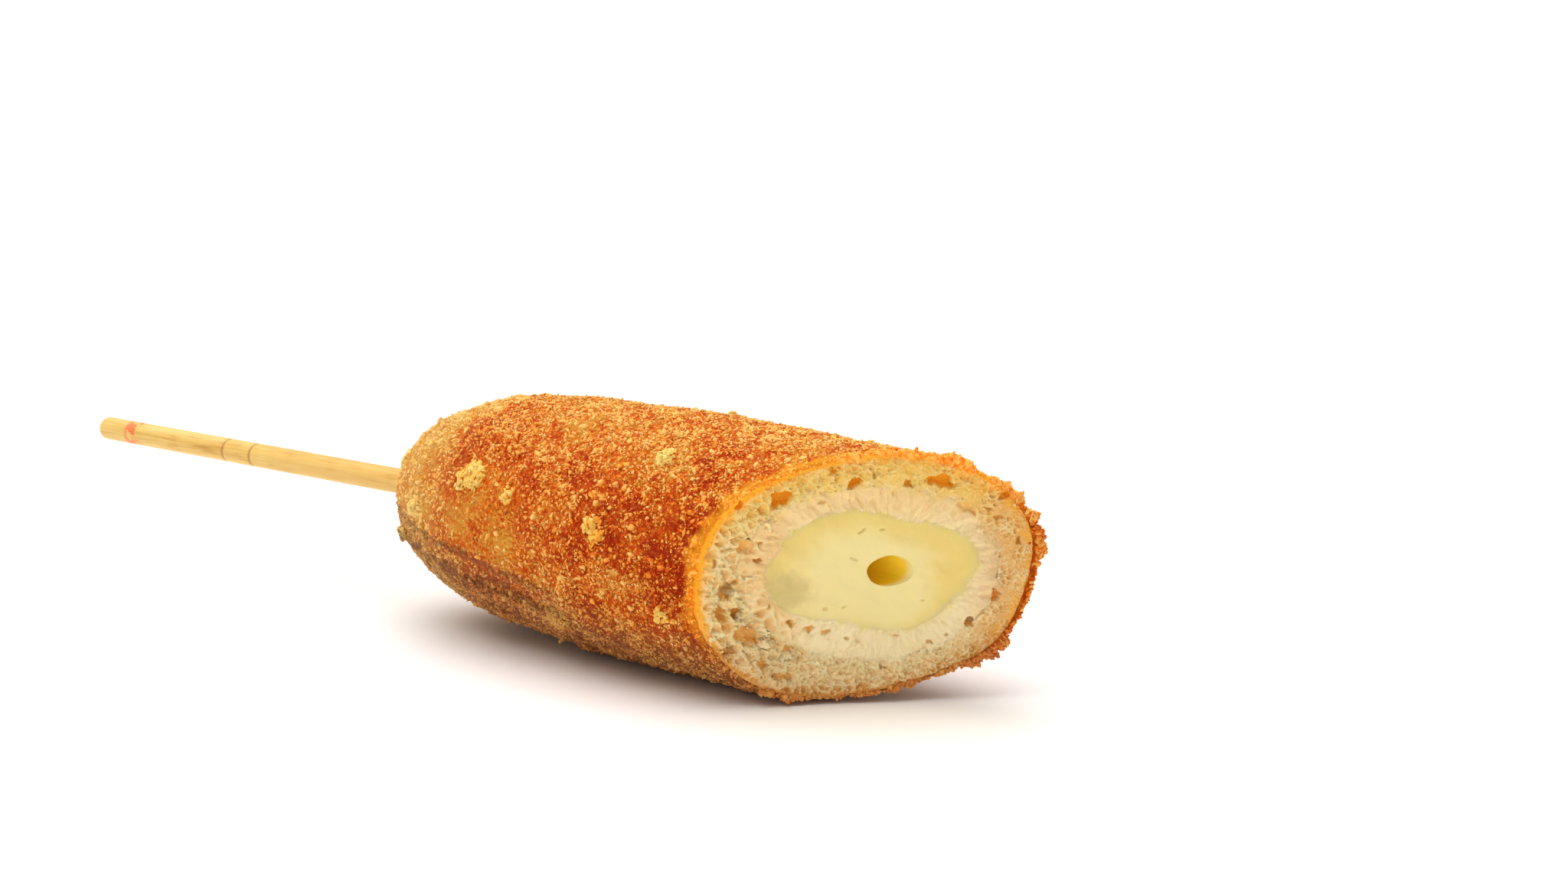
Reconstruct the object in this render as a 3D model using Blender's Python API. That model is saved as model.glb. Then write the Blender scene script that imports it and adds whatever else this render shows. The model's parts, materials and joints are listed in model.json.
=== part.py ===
"""A cheese corn dog on a bamboo skewer, cut in half on a slant.

The half that keeps the skewer lies on its side. X runs along the corn dog towards the cut,
Y across it, and Z is up from the table. The origin is the centre of the flat spot it rests on.
"""

import math

import bmesh
import bpy
from mathutils import Matrix, Vector

MM = 0.001
GAP = 0.3 * MM

# The batter jacket: a barrel about a nearly level axis, rounded off where the skewer leaves it.
BATTER_END = -78.0 * MM
END_LENGTH = 37.6 * MM
WAIST_RADIUS = 22.9 * MM
BELLY = 3.15 * MM
BELLY_LENGTH = 43.8 * MM
TIP_TAPER = 1.05 * MM
TAPER_START = 25.0 * MM
TAPER_LENGTH = 40.0 * MM
AXIS_HEIGHT = 25.1 * MM
AXIS_RISE = 2.5 * MM
AXIS_SPAN = 100.0 * MM

# Broad lumps that the dough took on in the fryer:
# (place along X, angle round the axis, height, length along X, spread of the angle).
LUMPS = [
    (30 * MM, -120, 1.7 * MM, 16 * MM, 24),
    (18 * MM, 176, -0.9 * MM, 20 * MM, 22),
    (64 * MM, -8, -1.0 * MM, 12 * MM, 22),
    (58 * MM, -45, 0.8 * MM, 14 * MM, 16),
    (34 * MM, 112, -0.7 * MM, 24 * MM, 26),
    (-34 * MM, 70, 0.7 * MM, 18 * MM, 30),
    (-8 * MM, 20, 0.6 * MM, 22 * MM, 26),
    (-48 * MM, -30, 0.6 * MM, 16 * MM, 24),
]

# The fold where the batter was wound round the dog and overlaps itself, low on the near side.
FOLD_MIDDLE = -37.0 * MM
FOLD_HALF_LENGTH = 27.0 * MM
FOLD_ANGLE = -164.0
FOLD_TURN = 9.0
FOLD_DEPTH = 1.5 * MM
FOLD_LIP = 5.0
FOLD_FADE = 30.0

# The slanted cut, through this point on the axis.
CUT_POINT = Vector((45.0, 0.0, 25.6)) * MM
CUT_SLANT = math.radians(45.3)
CUT_LEAN = math.radians(-4.0)
CUT_NORMAL = Vector((
    math.cos(CUT_SLANT) * math.cos(CUT_LEAN),
    -math.sin(CUT_SLANT) * math.cos(CUT_LEAN),
    math.sin(CUT_LEAN),
))
PAST_CUT = 76.0 * MM
KNIFE_SIZE = 160.0 * MM

# The cheese stick and the dense pale dough baked against it. Each section is an oval with a
# mean radius, a second harmonic that widens it and a fourth that squares it.
CHEESE_END = -57.0 * MM
CHEESE_ROUNDING = 9.0 * MM
CHEESE_CENTRE = (-1.0 * MM, 25.9 * MM)
CHEESE_SECTION = {"mean": 12.4 * MM, "wide": 1.4 * MM, "skew": -0.5 * MM, "square": 0.7 * MM}
DOUGH_END = -63.5 * MM
DOUGH_ROUNDING = 16.0 * MM
DOUGH_CENTRE = (-1.4 * MM, 25.3 * MM)
DOUGH_SECTION = {"mean": 16.9 * MM, "wide": 0.3 * MM, "skew": -0.6 * MM, "square": 0.0}

# The round bamboo skewer and the hole that it made.
SKEWER_CENTRE = (1.5 * MM, 25.85 * MM)
SKEWER_RADIUS = 2.75 * MM
SKEWER_BUTT = -192.3 * MM
SKEWER_TIP = 10.0 * MM
SKEWER_POINT = 14.0 * MM
POINT_RADIUS = 1.2 * MM
BUTT_CHAMFER = 0.6 * MM
GROOVES = (-146.4 * MM, -136.9 * MM)
GROOVE_DEPTH = 0.2 * MM
GROOVE_HALF_WIDTH = 0.45 * MM
HOLE_RADIUS = 3.05 * MM
HOLE_START = -100.0 * MM

BATTER_SIDES = 56
CAP_RINGS = 11
BARREL_STEP = 3.6 * MM
DOUGH_SIDES = 40
CHEESE_SIDES = 36
ROUND_SIDES = 24


def clear_scene():
    for obj in list(bpy.data.objects):
        bpy.data.objects.remove(obj, do_unlink=True)


def make_material(name, colour, roughness):
    """A Principled material in one linear colour."""
    material = bpy.data.materials.new(name)
    material.use_nodes = True
    shader = material.node_tree.nodes["Principled BSDF"]
    shader.inputs["Base Color"].default_value = (*colour, 1.0)
    shader.inputs["Roughness"].default_value = roughness
    shader.inputs["Metallic"].default_value = 0.0
    material.diffuse_color = (*colour, 1.0)
    return material


def bell(distance, width):
    return math.exp(-((distance / width) ** 2))


def turn_between(angle, other):
    """The signed angle from other to angle, in degrees, between -180 and 180."""
    return (angle - other + 180.0) % 360.0 - 180.0


def axis_height(x):
    return AXIS_HEIGHT + AXIS_RISE * (x / AXIS_SPAN) ** 2


def barrel_radius(x):
    taper = max(x - TAPER_START, 0.0) / TAPER_LENGTH
    return WAIST_RADIUS + BELLY * bell(x, BELLY_LENGTH) - TIP_TAPER * taper**2


def fold_depth(x, angle):
    """How far the batter sinks below the fold's lip, fading out at both ends and underneath."""
    along = (x - FOLD_MIDDLE) / FOLD_HALF_LENGTH
    if abs(along) >= 1.0:
        return 0.0
    below = turn_between(angle, FOLD_ANGLE + FOLD_TURN * along)
    if below <= 0.0 or below >= FOLD_LIP + FOLD_FADE:
        return 0.0
    across = below / FOLD_LIP if below < FOLD_LIP else 1.0 - (below - FOLD_LIP) / FOLD_FADE
    return FOLD_DEPTH * across * (1.0 - along**2)


def batter_section(x, angle):
    """A point of the jacket at x, angle degrees round its axis from +Y through +Z."""
    radius = barrel_radius(x)
    for place, turn, height, length, spread in LUMPS:
        radius += height * bell(x - place, length) * bell(turn_between(angle, turn), spread)
    radius -= fold_depth(x, angle)
    from_end = (x - BATTER_END) / END_LENGTH
    if from_end < 1.0:
        radius *= math.sqrt(max(1.0 - (1.0 - from_end) ** 2, 0.0))
    turn = math.radians(angle)
    return radius * math.cos(turn), axis_height(x) + radius * math.sin(turn)


def filling_section(section, centre, end, rounding, spare):
    """A function like batter_section for a straight filling, grown all round by spare."""

    def point(x, angle):
        turn = math.radians(angle)
        radius = section["mean"] + spare
        radius += section["wide"] * math.cos(2 * turn) + section["skew"] * math.sin(2 * turn)
        radius += section["square"] * math.sin(4 * turn)
        from_end = (x - (end - spare)) / (rounding + spare)
        if from_end < 1.0:
            radius *= math.sqrt(max(1.0 - (1.0 - from_end) ** 2, 0.0))
        return centre[0] + radius * math.cos(turn), centre[1] + radius * math.sin(turn)

    return point


def stations(end, rounding, cap_rings, stop, step):
    """Places along X for the rings: closer together round the blind end, then even."""
    places = []
    for ring in range(1, cap_rings + 1):
        places.append(end + rounding * (1.0 - math.cos(math.pi / 2 * ring / cap_rings)))
    count = math.ceil((stop - places[-1]) / step)
    start = places[-1]
    for ring in range(1, count + 1):
        places.append(start + (stop - start) * ring / count)
    return places


def add_object(name, mesh, material):
    obj = bpy.data.objects.new(name, mesh)
    bpy.context.scene.collection.objects.link(obj)
    if material:
        mesh.materials.append(material)
    mesh.shade_smooth()
    mesh.set_sharp_from_angle(angle=math.radians(40))
    return obj


def loft(section, end, places, sides):
    """A closed skin through one ring for each place, from a point at end to a flat face."""
    skin = bmesh.new()
    rings = []
    for x in places:
        ring = []
        for side in range(sides):
            y, z = section(x, 360.0 * side / sides)
            ring.append(skin.verts.new((x, y, z)))
        rings.append(ring)
    for ring, following in zip(rings, rings[1:]):
        for side in range(sides):
            beside = (side + 1) % sides
            skin.faces.new((ring[side], ring[beside], following[beside], following[side]))
    pole = skin.verts.new((end, *section(end, 0.0)))
    for side in range(sides):
        skin.faces.new((pole, rings[0][(side + 1) % sides], rings[0][side]))
    skin.faces.new(rings[-1])
    bmesh.ops.recalc_face_normals(skin, faces=skin.faces)
    return skin


def finish_mesh(name, skin):
    mesh = bpy.data.meshes.new(name)
    skin.to_mesh(mesh)
    skin.free()
    return mesh


def flatten_rest(skin):
    """Cuts the skin off level at the table, and closes it with the flat that it rests on."""
    geometry = list(skin.verts) + list(skin.edges) + list(skin.faces)
    cut = bmesh.ops.bisect_plane(
        skin, geom=geometry, dist=1e-7, plane_co=(0, 0, 0), plane_no=(0, 0, -1), clear_outer=True
    )
    rim = [item for item in cut["geom_cut"] if isinstance(item, bmesh.types.BMEdge)]
    bmesh.ops.edgeloop_fill(skin, edges=rim)
    bmesh.ops.recalc_face_normals(skin, faces=skin.faces)


def turned_rod(profile, sides):
    """A closed rod along X, from (place, radius) pairs of its profile."""
    rod = bmesh.new()
    rings = []
    for x, radius in profile:
        ring = []
        for side in range(sides):
            turn = 2 * math.pi * side / sides
            place = (x, SKEWER_CENTRE[0] + radius * math.cos(turn), SKEWER_CENTRE[1] + radius * math.sin(turn))
            ring.append(rod.verts.new(place))
        rings.append(ring)
    for ring, following in zip(rings, rings[1:]):
        for side in range(sides):
            beside = (side + 1) % sides
            rod.faces.new((ring[side], ring[beside], following[beside], following[side]))
    rod.faces.new(rings[0])
    rod.faces.new(rings[-1])
    bmesh.ops.recalc_face_normals(rod, faces=rod.faces)
    return rod


def hide(cutter):
    cutter.hide_render = True
    cutter.display_type = "WIRE"
    return cutter


def make_knife():
    """A block whose near face is the plane of the slanted cut."""
    block = bmesh.new()
    bmesh.ops.create_cube(block, size=KNIFE_SIZE)
    place = Matrix.Translation(CUT_POINT + CUT_NORMAL * KNIFE_SIZE / 2)
    turn = CUT_NORMAL.to_track_quat("X", "Z").to_matrix().to_4x4()
    bmesh.ops.transform(block, matrix=place @ turn, verts=block.verts)
    return hide(add_object("knife", finish_mesh("knife", block), None))


def make_skewer_hole():
    hole = turned_rod([(HOLE_START, HOLE_RADIUS), (PAST_CUT + 10 * MM, HOLE_RADIUS)], ROUND_SIDES)
    return hide(add_object("skewer_hole", finish_mesh("skewer_hole", hole), None))


def make_hollow(name, section, centre, end, rounding, cap_rings, sides):
    """The room that a filling takes out of the layer round it, one gap larger than the filling."""
    outline = filling_section(section, centre, end, rounding, GAP)
    places = stations(end - GAP, rounding + GAP, cap_rings, PAST_CUT + 10 * MM, 24 * MM)
    skin = loft(outline, end - GAP, places, sides)
    return hide(add_object(name, finish_mesh(name, skin), None))


def subtract(obj, cutter):
    boolean = obj.modifiers.new(cutter.name, "BOOLEAN")
    boolean.operation = "DIFFERENCE"
    boolean.solver = "EXACT"
    boolean.object = cutter


def make_batter(cutters):
    places = stations(BATTER_END, END_LENGTH, CAP_RINGS, PAST_CUT, BARREL_STEP)
    skin = loft(batter_section, BATTER_END, places, BATTER_SIDES)
    flatten_rest(skin)
    crust = make_material("fried_batter", (0.52, 0.20, 0.05), 0.75)
    batter = add_object("batter", finish_mesh("batter", skin), crust)
    for cutter in cutters:
        subtract(batter, cutter)


def make_filling(name, section, centre, end, rounding, cap_rings, sides, material, cutters):
    outline = filling_section(section, centre, end, rounding, 0.0)
    places = stations(end, rounding, cap_rings, PAST_CUT, 24 * MM)
    filling = add_object(name, finish_mesh(name, loft(outline, end, places, sides)), material)
    for cutter in cutters:
        subtract(filling, cutter)


def make_skewer():
    """The skewer, chamfered at its butt, narrowing to its tip, with a ring scored at each groove."""
    profile = [(SKEWER_BUTT, SKEWER_RADIUS - BUTT_CHAMFER), (SKEWER_BUTT + BUTT_CHAMFER, SKEWER_RADIUS)]
    for groove in GROOVES:
        profile.append((groove - GROOVE_HALF_WIDTH, SKEWER_RADIUS))
        profile.append((groove, SKEWER_RADIUS - GROOVE_DEPTH))
        profile.append((groove + GROOVE_HALF_WIDTH, SKEWER_RADIUS))
    profile.append((SKEWER_TIP - SKEWER_POINT, SKEWER_RADIUS))
    profile.append((SKEWER_TIP, POINT_RADIUS))
    bamboo = make_material("bamboo", (0.72, 0.52, 0.27), 0.55)
    add_object("skewer", finish_mesh("skewer", turned_rod(profile, ROUND_SIDES)), bamboo)


def build():
    clear_scene()
    knife = make_knife()
    skewer_hole = make_skewer_hole()
    dough = (DOUGH_SECTION, DOUGH_CENTRE, DOUGH_END, DOUGH_ROUNDING, 7, DOUGH_SIDES)
    cheese = (CHEESE_SECTION, CHEESE_CENTRE, CHEESE_END, CHEESE_ROUNDING, 6, CHEESE_SIDES)
    dough_room = make_hollow("dough_room", *dough)
    cheese_room = make_hollow("cheese_room", *cheese)
    pale_dough = make_material("pale_dough", (0.80, 0.70, 0.48), 0.7)
    melted_cheese = make_material("melted_cheese", (0.75, 0.70, 0.32), 0.4)
    make_batter([dough_room, skewer_hole, knife])
    make_filling("inner_dough", *dough, pale_dough, [cheese_room, skewer_hole, knife])
    make_filling("cheese", *cheese, melted_cheese, [skewer_hole, knife])
    make_skewer()


build()
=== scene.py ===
# %% [markdown]
# # A halved cheese corn dog on its skewer
# This lesson dresses a corn dog that already exists as plain solids: a batter jacket, a sleeve of
# pale dough, a cheese stick and a bamboo skewer. The solids fix every size and place. What is made
# here is what the eye sees: the crumbed crust, the torn bread at the cut, the cheese and the bamboo.

# %% The frame
import contextlib
import json
import math

import bpy
import numpy as np
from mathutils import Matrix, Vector

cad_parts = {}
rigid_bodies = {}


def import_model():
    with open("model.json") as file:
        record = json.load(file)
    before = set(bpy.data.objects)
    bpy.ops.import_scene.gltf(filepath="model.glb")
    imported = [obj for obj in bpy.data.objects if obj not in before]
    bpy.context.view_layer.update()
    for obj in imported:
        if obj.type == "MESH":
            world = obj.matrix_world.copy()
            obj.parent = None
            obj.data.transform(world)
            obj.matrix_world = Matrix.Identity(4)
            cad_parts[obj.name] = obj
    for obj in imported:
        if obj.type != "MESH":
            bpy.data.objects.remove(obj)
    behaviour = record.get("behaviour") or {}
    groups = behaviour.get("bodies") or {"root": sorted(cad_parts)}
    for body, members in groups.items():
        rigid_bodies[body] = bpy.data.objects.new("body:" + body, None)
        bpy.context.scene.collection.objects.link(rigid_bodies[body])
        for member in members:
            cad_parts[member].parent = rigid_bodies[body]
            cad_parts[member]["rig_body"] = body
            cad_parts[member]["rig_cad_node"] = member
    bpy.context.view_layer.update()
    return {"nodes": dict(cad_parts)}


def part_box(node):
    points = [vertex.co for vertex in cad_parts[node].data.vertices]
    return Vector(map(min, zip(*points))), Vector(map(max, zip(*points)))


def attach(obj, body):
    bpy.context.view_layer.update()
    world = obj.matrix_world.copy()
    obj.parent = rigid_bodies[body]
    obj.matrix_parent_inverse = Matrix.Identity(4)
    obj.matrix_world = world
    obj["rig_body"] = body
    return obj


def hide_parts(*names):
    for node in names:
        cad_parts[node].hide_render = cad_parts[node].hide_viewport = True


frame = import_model()
MM = 0.001

# %% [markdown]
# ## Working by operator
# Blender's operators act on whatever is selected, and the loaded solids arrive selected. So every
# step starts by deselecting all. These helpers keep that rule in one place.

# %% Selection, edit mode and modifiers


def pick(*objects):
    """Makes these the only selected objects, the first one active."""
    bpy.ops.object.select_all(action="DESELECT")
    for obj in objects:
        obj.select_set(True)
    bpy.context.view_layer.objects.active = objects[0]
    return objects[0]


@contextlib.contextmanager
def editing(obj, mode="VERT"):
    pick(obj)
    bpy.ops.object.mode_set(mode="EDIT")
    bpy.ops.mesh.select_mode(type=mode)
    yield obj.data
    bpy.ops.object.mode_set(mode="OBJECT")


def finish_with(obj, kind, **settings):
    """Adds a modifier with these settings and applies it."""
    pick(obj)
    modifier = obj.modifiers.new(kind.title(), kind)
    for setting, value in settings.items():
        setattr(modifier, setting, value)
    bpy.ops.object.modifier_apply(modifier=modifier.name)


def settle(obj, name):
    """Names a piece and moves its place into its mesh, so that its object sits at the origin."""
    pick(obj)
    bpy.ops.object.transform_apply(location=True, rotation=True, scale=True)
    obj.name = obj.data.name = name
    return obj


def points_of(obj):
    points = np.empty(len(obj.data.vertices) * 3, np.float32)
    obj.data.vertices.foreach_get("co", points)
    return points.reshape(-1, 3).astype(float)


def place_points(obj, points):
    obj.data.vertices.foreach_set("co", points.astype(np.float32).ravel())
    obj.data.update()


def choose(obj, vertices=None, faces=None):
    """Selects vertices or faces by a true-or-false list, in object mode."""
    mesh = obj.data
    mesh.polygons.foreach_set("select", np.zeros(len(mesh.polygons), bool))
    mesh.edges.foreach_set("select", np.zeros(len(mesh.edges), bool))
    mesh.vertices.foreach_set("select", np.zeros(len(mesh.vertices), bool))
    if vertices is not None:
        mesh.vertices.foreach_set("select", vertices)
    if faces is not None:
        mesh.polygons.foreach_set("select", faces)


def merged_copy(node, name):
    """A closed copy of a solid: the solid itself is loose triangles, so its corners are merged."""
    solid = frame["nodes"][node]
    pick(solid)
    bpy.ops.object.duplicate()
    copy = bpy.context.view_layer.objects.active
    copy.parent = None
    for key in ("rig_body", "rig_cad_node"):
        if key in copy:
            del copy[key]
    copy.data.materials.clear()
    with editing(copy):
        bpy.ops.mesh.select_all(action="SELECT")
        bpy.ops.mesh.remove_doubles(threshold=0.002 * MM)
    copy.name = copy.data.name = name
    return copy


# %% [markdown]
# ## Node trees as arithmetic
# A material is a small program. Writing it as arithmetic keeps it short: an output socket is
# wrapped in a class whose + - * / add Math nodes, and one method makes every other node.

# %% The socket class


class Flow:
    """An output socket. Arithmetic on it adds Math nodes to its tree."""

    def __init__(self, tree, socket):
        self.tree = tree
        self.socket = socket

    def math(self, operation, *values, clamp=False):
        settings = {"operation": operation, "use_clamp": clamp}
        return node(self.tree, "ShaderNodeMath", settings, dict(enumerate(values)))

    def __add__(self, other):
        return self.math("ADD", self, other)

    def __radd__(self, other):
        return self.math("ADD", other, self)

    def __sub__(self, other):
        return self.math("SUBTRACT", self, other)

    def __rsub__(self, other):
        return self.math("SUBTRACT", other, self)

    def __mul__(self, other):
        return self.math("MULTIPLY", self, other)

    def __rmul__(self, other):
        return self.math("MULTIPLY", other, self)

    def __truediv__(self, other):
        return self.math("DIVIDE", self, other)

    def __pow__(self, other):
        return self.math("POWER", self, other)

    def clamped(self):
        return self.math("ADD", self, 0.0, clamp=True)

    def step(self, low, high):
        """0 below low, 1 above high, and smooth between them. high may be the smaller."""
        settings = {"interpolation_type": "SMOOTHSTEP"}
        if low > high:
            return 1.0 - self.step(high, low)
        return node(self.tree, "ShaderNodeMapRange", settings, {"Value": self, "From Min": low, "From Max": high})


def node(tree, kind, settings=None, sockets=None, output=0):
    """Adds a node: its settings first, then the values or links of its sockets."""
    made = tree.nodes.new(kind)
    for setting, value in (settings or {}).items():
        if setting == "stops":
            ramp = made.color_ramp
            while len(ramp.elements) < len(value):
                ramp.elements.new(0.5)
            for element, (place, colour) in zip(ramp.elements, value):
                element.position = place
                element.color = (*colour, 1.0)
        else:
            setattr(made, setting, value)
    for socket, value in (sockets or {}).items():
        target = made.inputs[socket]
        if isinstance(value, Flow):
            tree.links.new(value.socket, target)
        else:
            target.default_value = value
    return None if output is None else Flow(tree, made.outputs[output])


class Finish:
    """A material in the making, with the patterns that the finishes below share."""

    def __init__(self, name):
        self.material = bpy.data.materials.new(name)
        self.material.use_nodes = True
        self.tree = self.material.node_tree
        self.shader = self.tree.nodes["Principled BSDF"]
        self.place = self.node("ShaderNodeTexCoord", output="Object")

    def node(self, kind, settings=None, sockets=None, output=0):
        return node(self.tree, kind, settings, sockets, output)

    def noise(self, size, detail=3.0, roughness=0.6, at=None, distortion=0.0):
        """Cloudy noise from 0 to 1, whose largest lumps are about size across."""
        sockets = {"Vector": at or self.place, "Scale": 1.0 / size, "Detail": detail}
        sockets.update({"Roughness": roughness, "Distortion": distortion})
        return self.node("ShaderNodeTexNoise", None, sockets)

    def cells(self, size, output="Distance", feature="F1", at=None, randomness=1.0):
        sockets = {"Vector": at or self.place, "Scale": 1.0 / size, "Randomness": randomness}
        return self.node("ShaderNodeTexVoronoi", {"feature": feature}, sockets, output)

    def stretched(self, scale):
        """Object coordinates scaled by a different amount along each axis."""
        return self.node("ShaderNodeMapping", None, {"Vector": self.place, "Scale": scale})

    def attribute(self, name):
        return self.node("ShaderNodeAttribute", {"attribute_name": name}, output="Fac")

    def ramp(self, factor, *stops):
        return self.node("ShaderNodeValToRGB", {"stops": stops}, {"Fac": factor})

    def blend(self, factor, first, second, mode="MIX"):
        """A colour mix: first where factor is 0, second where it is 1."""
        settings = {"data_type": "RGBA", "blend_type": mode}
        sockets = {"Factor": factor, 6: four(first), 7: four(second)}
        return self.node("ShaderNodeMix", settings, sockets, output=2)

    def dot(self, vector, at=None):
        settings = {"operation": "DOT_PRODUCT"}
        return self.node("ShaderNodeVectorMath", settings, {0: at or self.place, 1: vector}, "Value")

    def bump(self, height, distance, strength=1.0):
        sockets = {"Height": height, "Distance": distance, "Strength": strength}
        self.set({"Normal": self.node("ShaderNodeBump", None, sockets)})

    def along(self, axis):
        return self.node("ShaderNodeSeparateXYZ", None, {0: self.place}, axis)

    def away_from(self, spot):
        settings = {"operation": "DISTANCE"}
        return self.node("ShaderNodeVectorMath", settings, {0: self.place, 1: spot}, "Value")

    def set(self, sockets):
        for name, value in sockets.items():
            if isinstance(value, Flow):
                self.tree.links.new(value.socket, self.shader.inputs[name])
            else:
                self.shader.inputs[name].default_value = value


def four(colour):
    return colour if isinstance(colour, Flow) else (*colour, 1.0)


def wear(obj, finish):
    obj.data.materials.clear()
    obj.data.materials.append(finish.material)
    return obj


# %% [markdown]
# ## Camera, table and light
# The camera stands well to the cut's side and only a little above the table, with a normal
# lens. The table and the background are one sweep of plain white, and the light is a wide soft
# box overhead, so that the shadow hugs the corn dog.

# %% Camera
AIM = Vector((28.2, -7.1, 49.5)) * MM
AZIMUTH = math.radians(37.55)
ELEVATION = math.radians(10.84)
DISTANCE = 402.9 * MM

back = Vector((
    math.sin(AZIMUTH) * math.cos(ELEVATION),
    -math.cos(AZIMUTH) * math.cos(ELEVATION),
    math.sin(ELEVATION),
))
camera = bpy.data.objects.new("camera", bpy.data.cameras.new("camera"))
bpy.context.scene.collection.objects.link(camera)
camera.data.lens = 50.0
camera.data.sensor_width = 36.0
camera.data.clip_start = 10 * MM
camera.location = AIM + back * DISTANCE
camera.rotation_euler = (-back).to_track_quat("-Z", "Y").to_euler()
bpy.context.scene.camera = camera

# %% Table
bpy.ops.object.select_all(action="DESELECT")
bpy.ops.mesh.primitive_plane_add(size=8.0)
table = settle(bpy.context.object, "table")
white = Finish("white_table")
white.set({"Base Color": (0.93, 0.93, 0.925, 1.0), "Roughness": 0.6, "Specular IOR Level": 0.2})
wear(table, white)

# %% Light
bpy.context.scene.view_settings.view_transform = "Standard"
world = bpy.data.worlds.new("studio")
bpy.context.scene.world = world
world.use_nodes = True
direction = node(world.node_tree, "ShaderNodeTexCoord", output="Generated")
height = node(world.node_tree, "ShaderNodeSeparateXYZ", None, {0: direction}, "Z")
LIGHT_AXIS = Vector((-0.25, 0.0, 0.97)).normalized()
towards_light = node(world.node_tree, "ShaderNodeVectorMath", {"operation": "DOT_PRODUCT"}, {
    0: direction, 1: LIGHT_AXIS,
}, "Value")
WALL, DIM, SOFT_BOX = 0.5, 0.19, 1.42
ROOM_TINT = {"Red": 1.0, "Green": 0.9, "Blue": 0.8}
glow = {
    channel: DIM * share + height.step(0.08, 0.03) * (WALL - DIM * share) + towards_light.step(0.64, 0.97) * SOFT_BOX
    for channel, share in ROOM_TINT.items()
}
sky = node(world.node_tree, "ShaderNodeCombineColor", None, glow)
background = world.node_tree.nodes["Background"]
world.node_tree.links.new(sky.socket, background.inputs["Color"])
background.inputs["Strength"].default_value = 2.14

# %% [markdown]
# ## Where the cut is
# Everything at the cut is placed from the solids: the plane is the one face of the cheese that
# looks along the corn dog, and each layer's outline is read from its corners on that plane.

# %% The cut plane and the outlines on it
cheese_solid = frame["nodes"]["cheese"]
facing = [face for face in cheese_solid.data.polygons if face.normal.x > 0.5]
CUT_NORMAL = sum((face.normal * face.area for face in facing), Vector()).normalized()
skewer_low, skewer_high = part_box("skewer")
hole_y = (skewer_low.y + skewer_high.y) / 2
hole_z = (skewer_low.z + skewer_high.z) / 2
HOLE_RADIUS = (skewer_high.z - skewer_low.z) / 2 + 0.3 * MM
cut_offset = facing[0].center.dot(CUT_NORMAL)
CUT_CENTRE = Vector(((cut_offset - CUT_NORMAL.z * hole_z) / CUT_NORMAL.x, 0.0, hole_z))
ACROSS = Vector((0, 0, 1)).cross(CUT_NORMAL).normalized()
UPWARD = CUT_NORMAL.cross(ACROSS)


def turn_and_reach(y, z):
    """The angle round the corn dog's middle line, and the distance from it."""
    return np.arctan2(z - CUT_CENTRE.z, y), np.hypot(y, z - CUT_CENTRE.z)


def outline_of(node_name, at_least):
    """The reach of a layer's rim at the cut, as a function of the angle round the middle."""
    corners = points_of(frame["nodes"][node_name])
    on_plane = np.abs(corners @ np.array(CUT_NORMAL) - cut_offset) < 0.01 * MM
    turn, reach = turn_and_reach(corners[:, 1], corners[:, 2])
    keep = on_plane & (reach > at_least)
    order = np.argsort(turn[keep])
    turns, reaches = turn[keep][order], reach[keep][order]
    return lambda angle: np.interp(angle, turns, reaches, period=2 * math.pi)


batter_rim = outline_of("batter", 19 * MM)
dough_rim = outline_of("inner_dough", 15.5 * MM)
cheese_rim = outline_of("cheese", 8 * MM)
print("cut through", [round(v / MM, 1) for v in CUT_CENTRE], "facing", [round(v, 2) for v in CUT_NORMAL])

# %% [markdown]
# ## One sheet for the whole cut
# A knife leaves one surface, and the layers only differ in what it went through. So the cut is one
# fine sheet of squares in the cut's plane. Its corners are pulled onto the layers' outlines, all of
# its relief is pressed into it as one, and only then is it parted into bread, dough and cheese.
# Neighbours share their edge exactly, with no gap to show.

# %% The sheet
SKIN_INSET = 0.45 * MM
SQUARE = 0.165 * MM
SHEET_ACROSS = 76 * MM
SHEET_UP = 54 * MM

bpy.ops.object.select_all(action="DESELECT")
bpy.ops.mesh.primitive_grid_add(
    x_subdivisions=round(SHEET_ACROSS / SQUARE), y_subdivisions=round(SHEET_UP / SQUARE), size=1.0
)
sheet = bpy.context.object
sheet.scale = (SHEET_ACROSS, SHEET_UP, 1.0)
bpy.ops.object.transform_apply(location=False, rotation=False, scale=True)
spots = points_of(sheet)
cut_spots = np.array(CUT_CENTRE) + spots[:, :1] * np.array(ACROSS) + spots[:, 1:2] * np.array(UPWARD)
place_points(sheet, cut_spots)


def ripple(turn, seed, waves):
    """A small uneven wave round an outline, from -1 to 1, the same on every run."""
    draw = np.random.default_rng(seed)
    total = np.zeros_like(turn)
    for wave in waves:
        total += np.sin(wave * turn + draw.uniform(0, 2 * math.pi)) * draw.uniform(0.4, 1.0)
    return total / len(waves)


def cheese_edge(turn):
    ragged = 0.5 * MM * ripple(turn, 3, (5, 9, 14, 23)) + 0.45 * MM * ripple(turn, 4, (31, 43, 59, 71))
    return cheese_rim(turn) + ragged


def dough_edge(turn):
    return dough_rim(turn) + 0.7 * MM * ripple(turn, 5, (3, 7, 12, 19, 27))


def bread_edge(turn):
    return batter_rim(turn) - SKIN_INSET - 0.4 * MM


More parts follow.
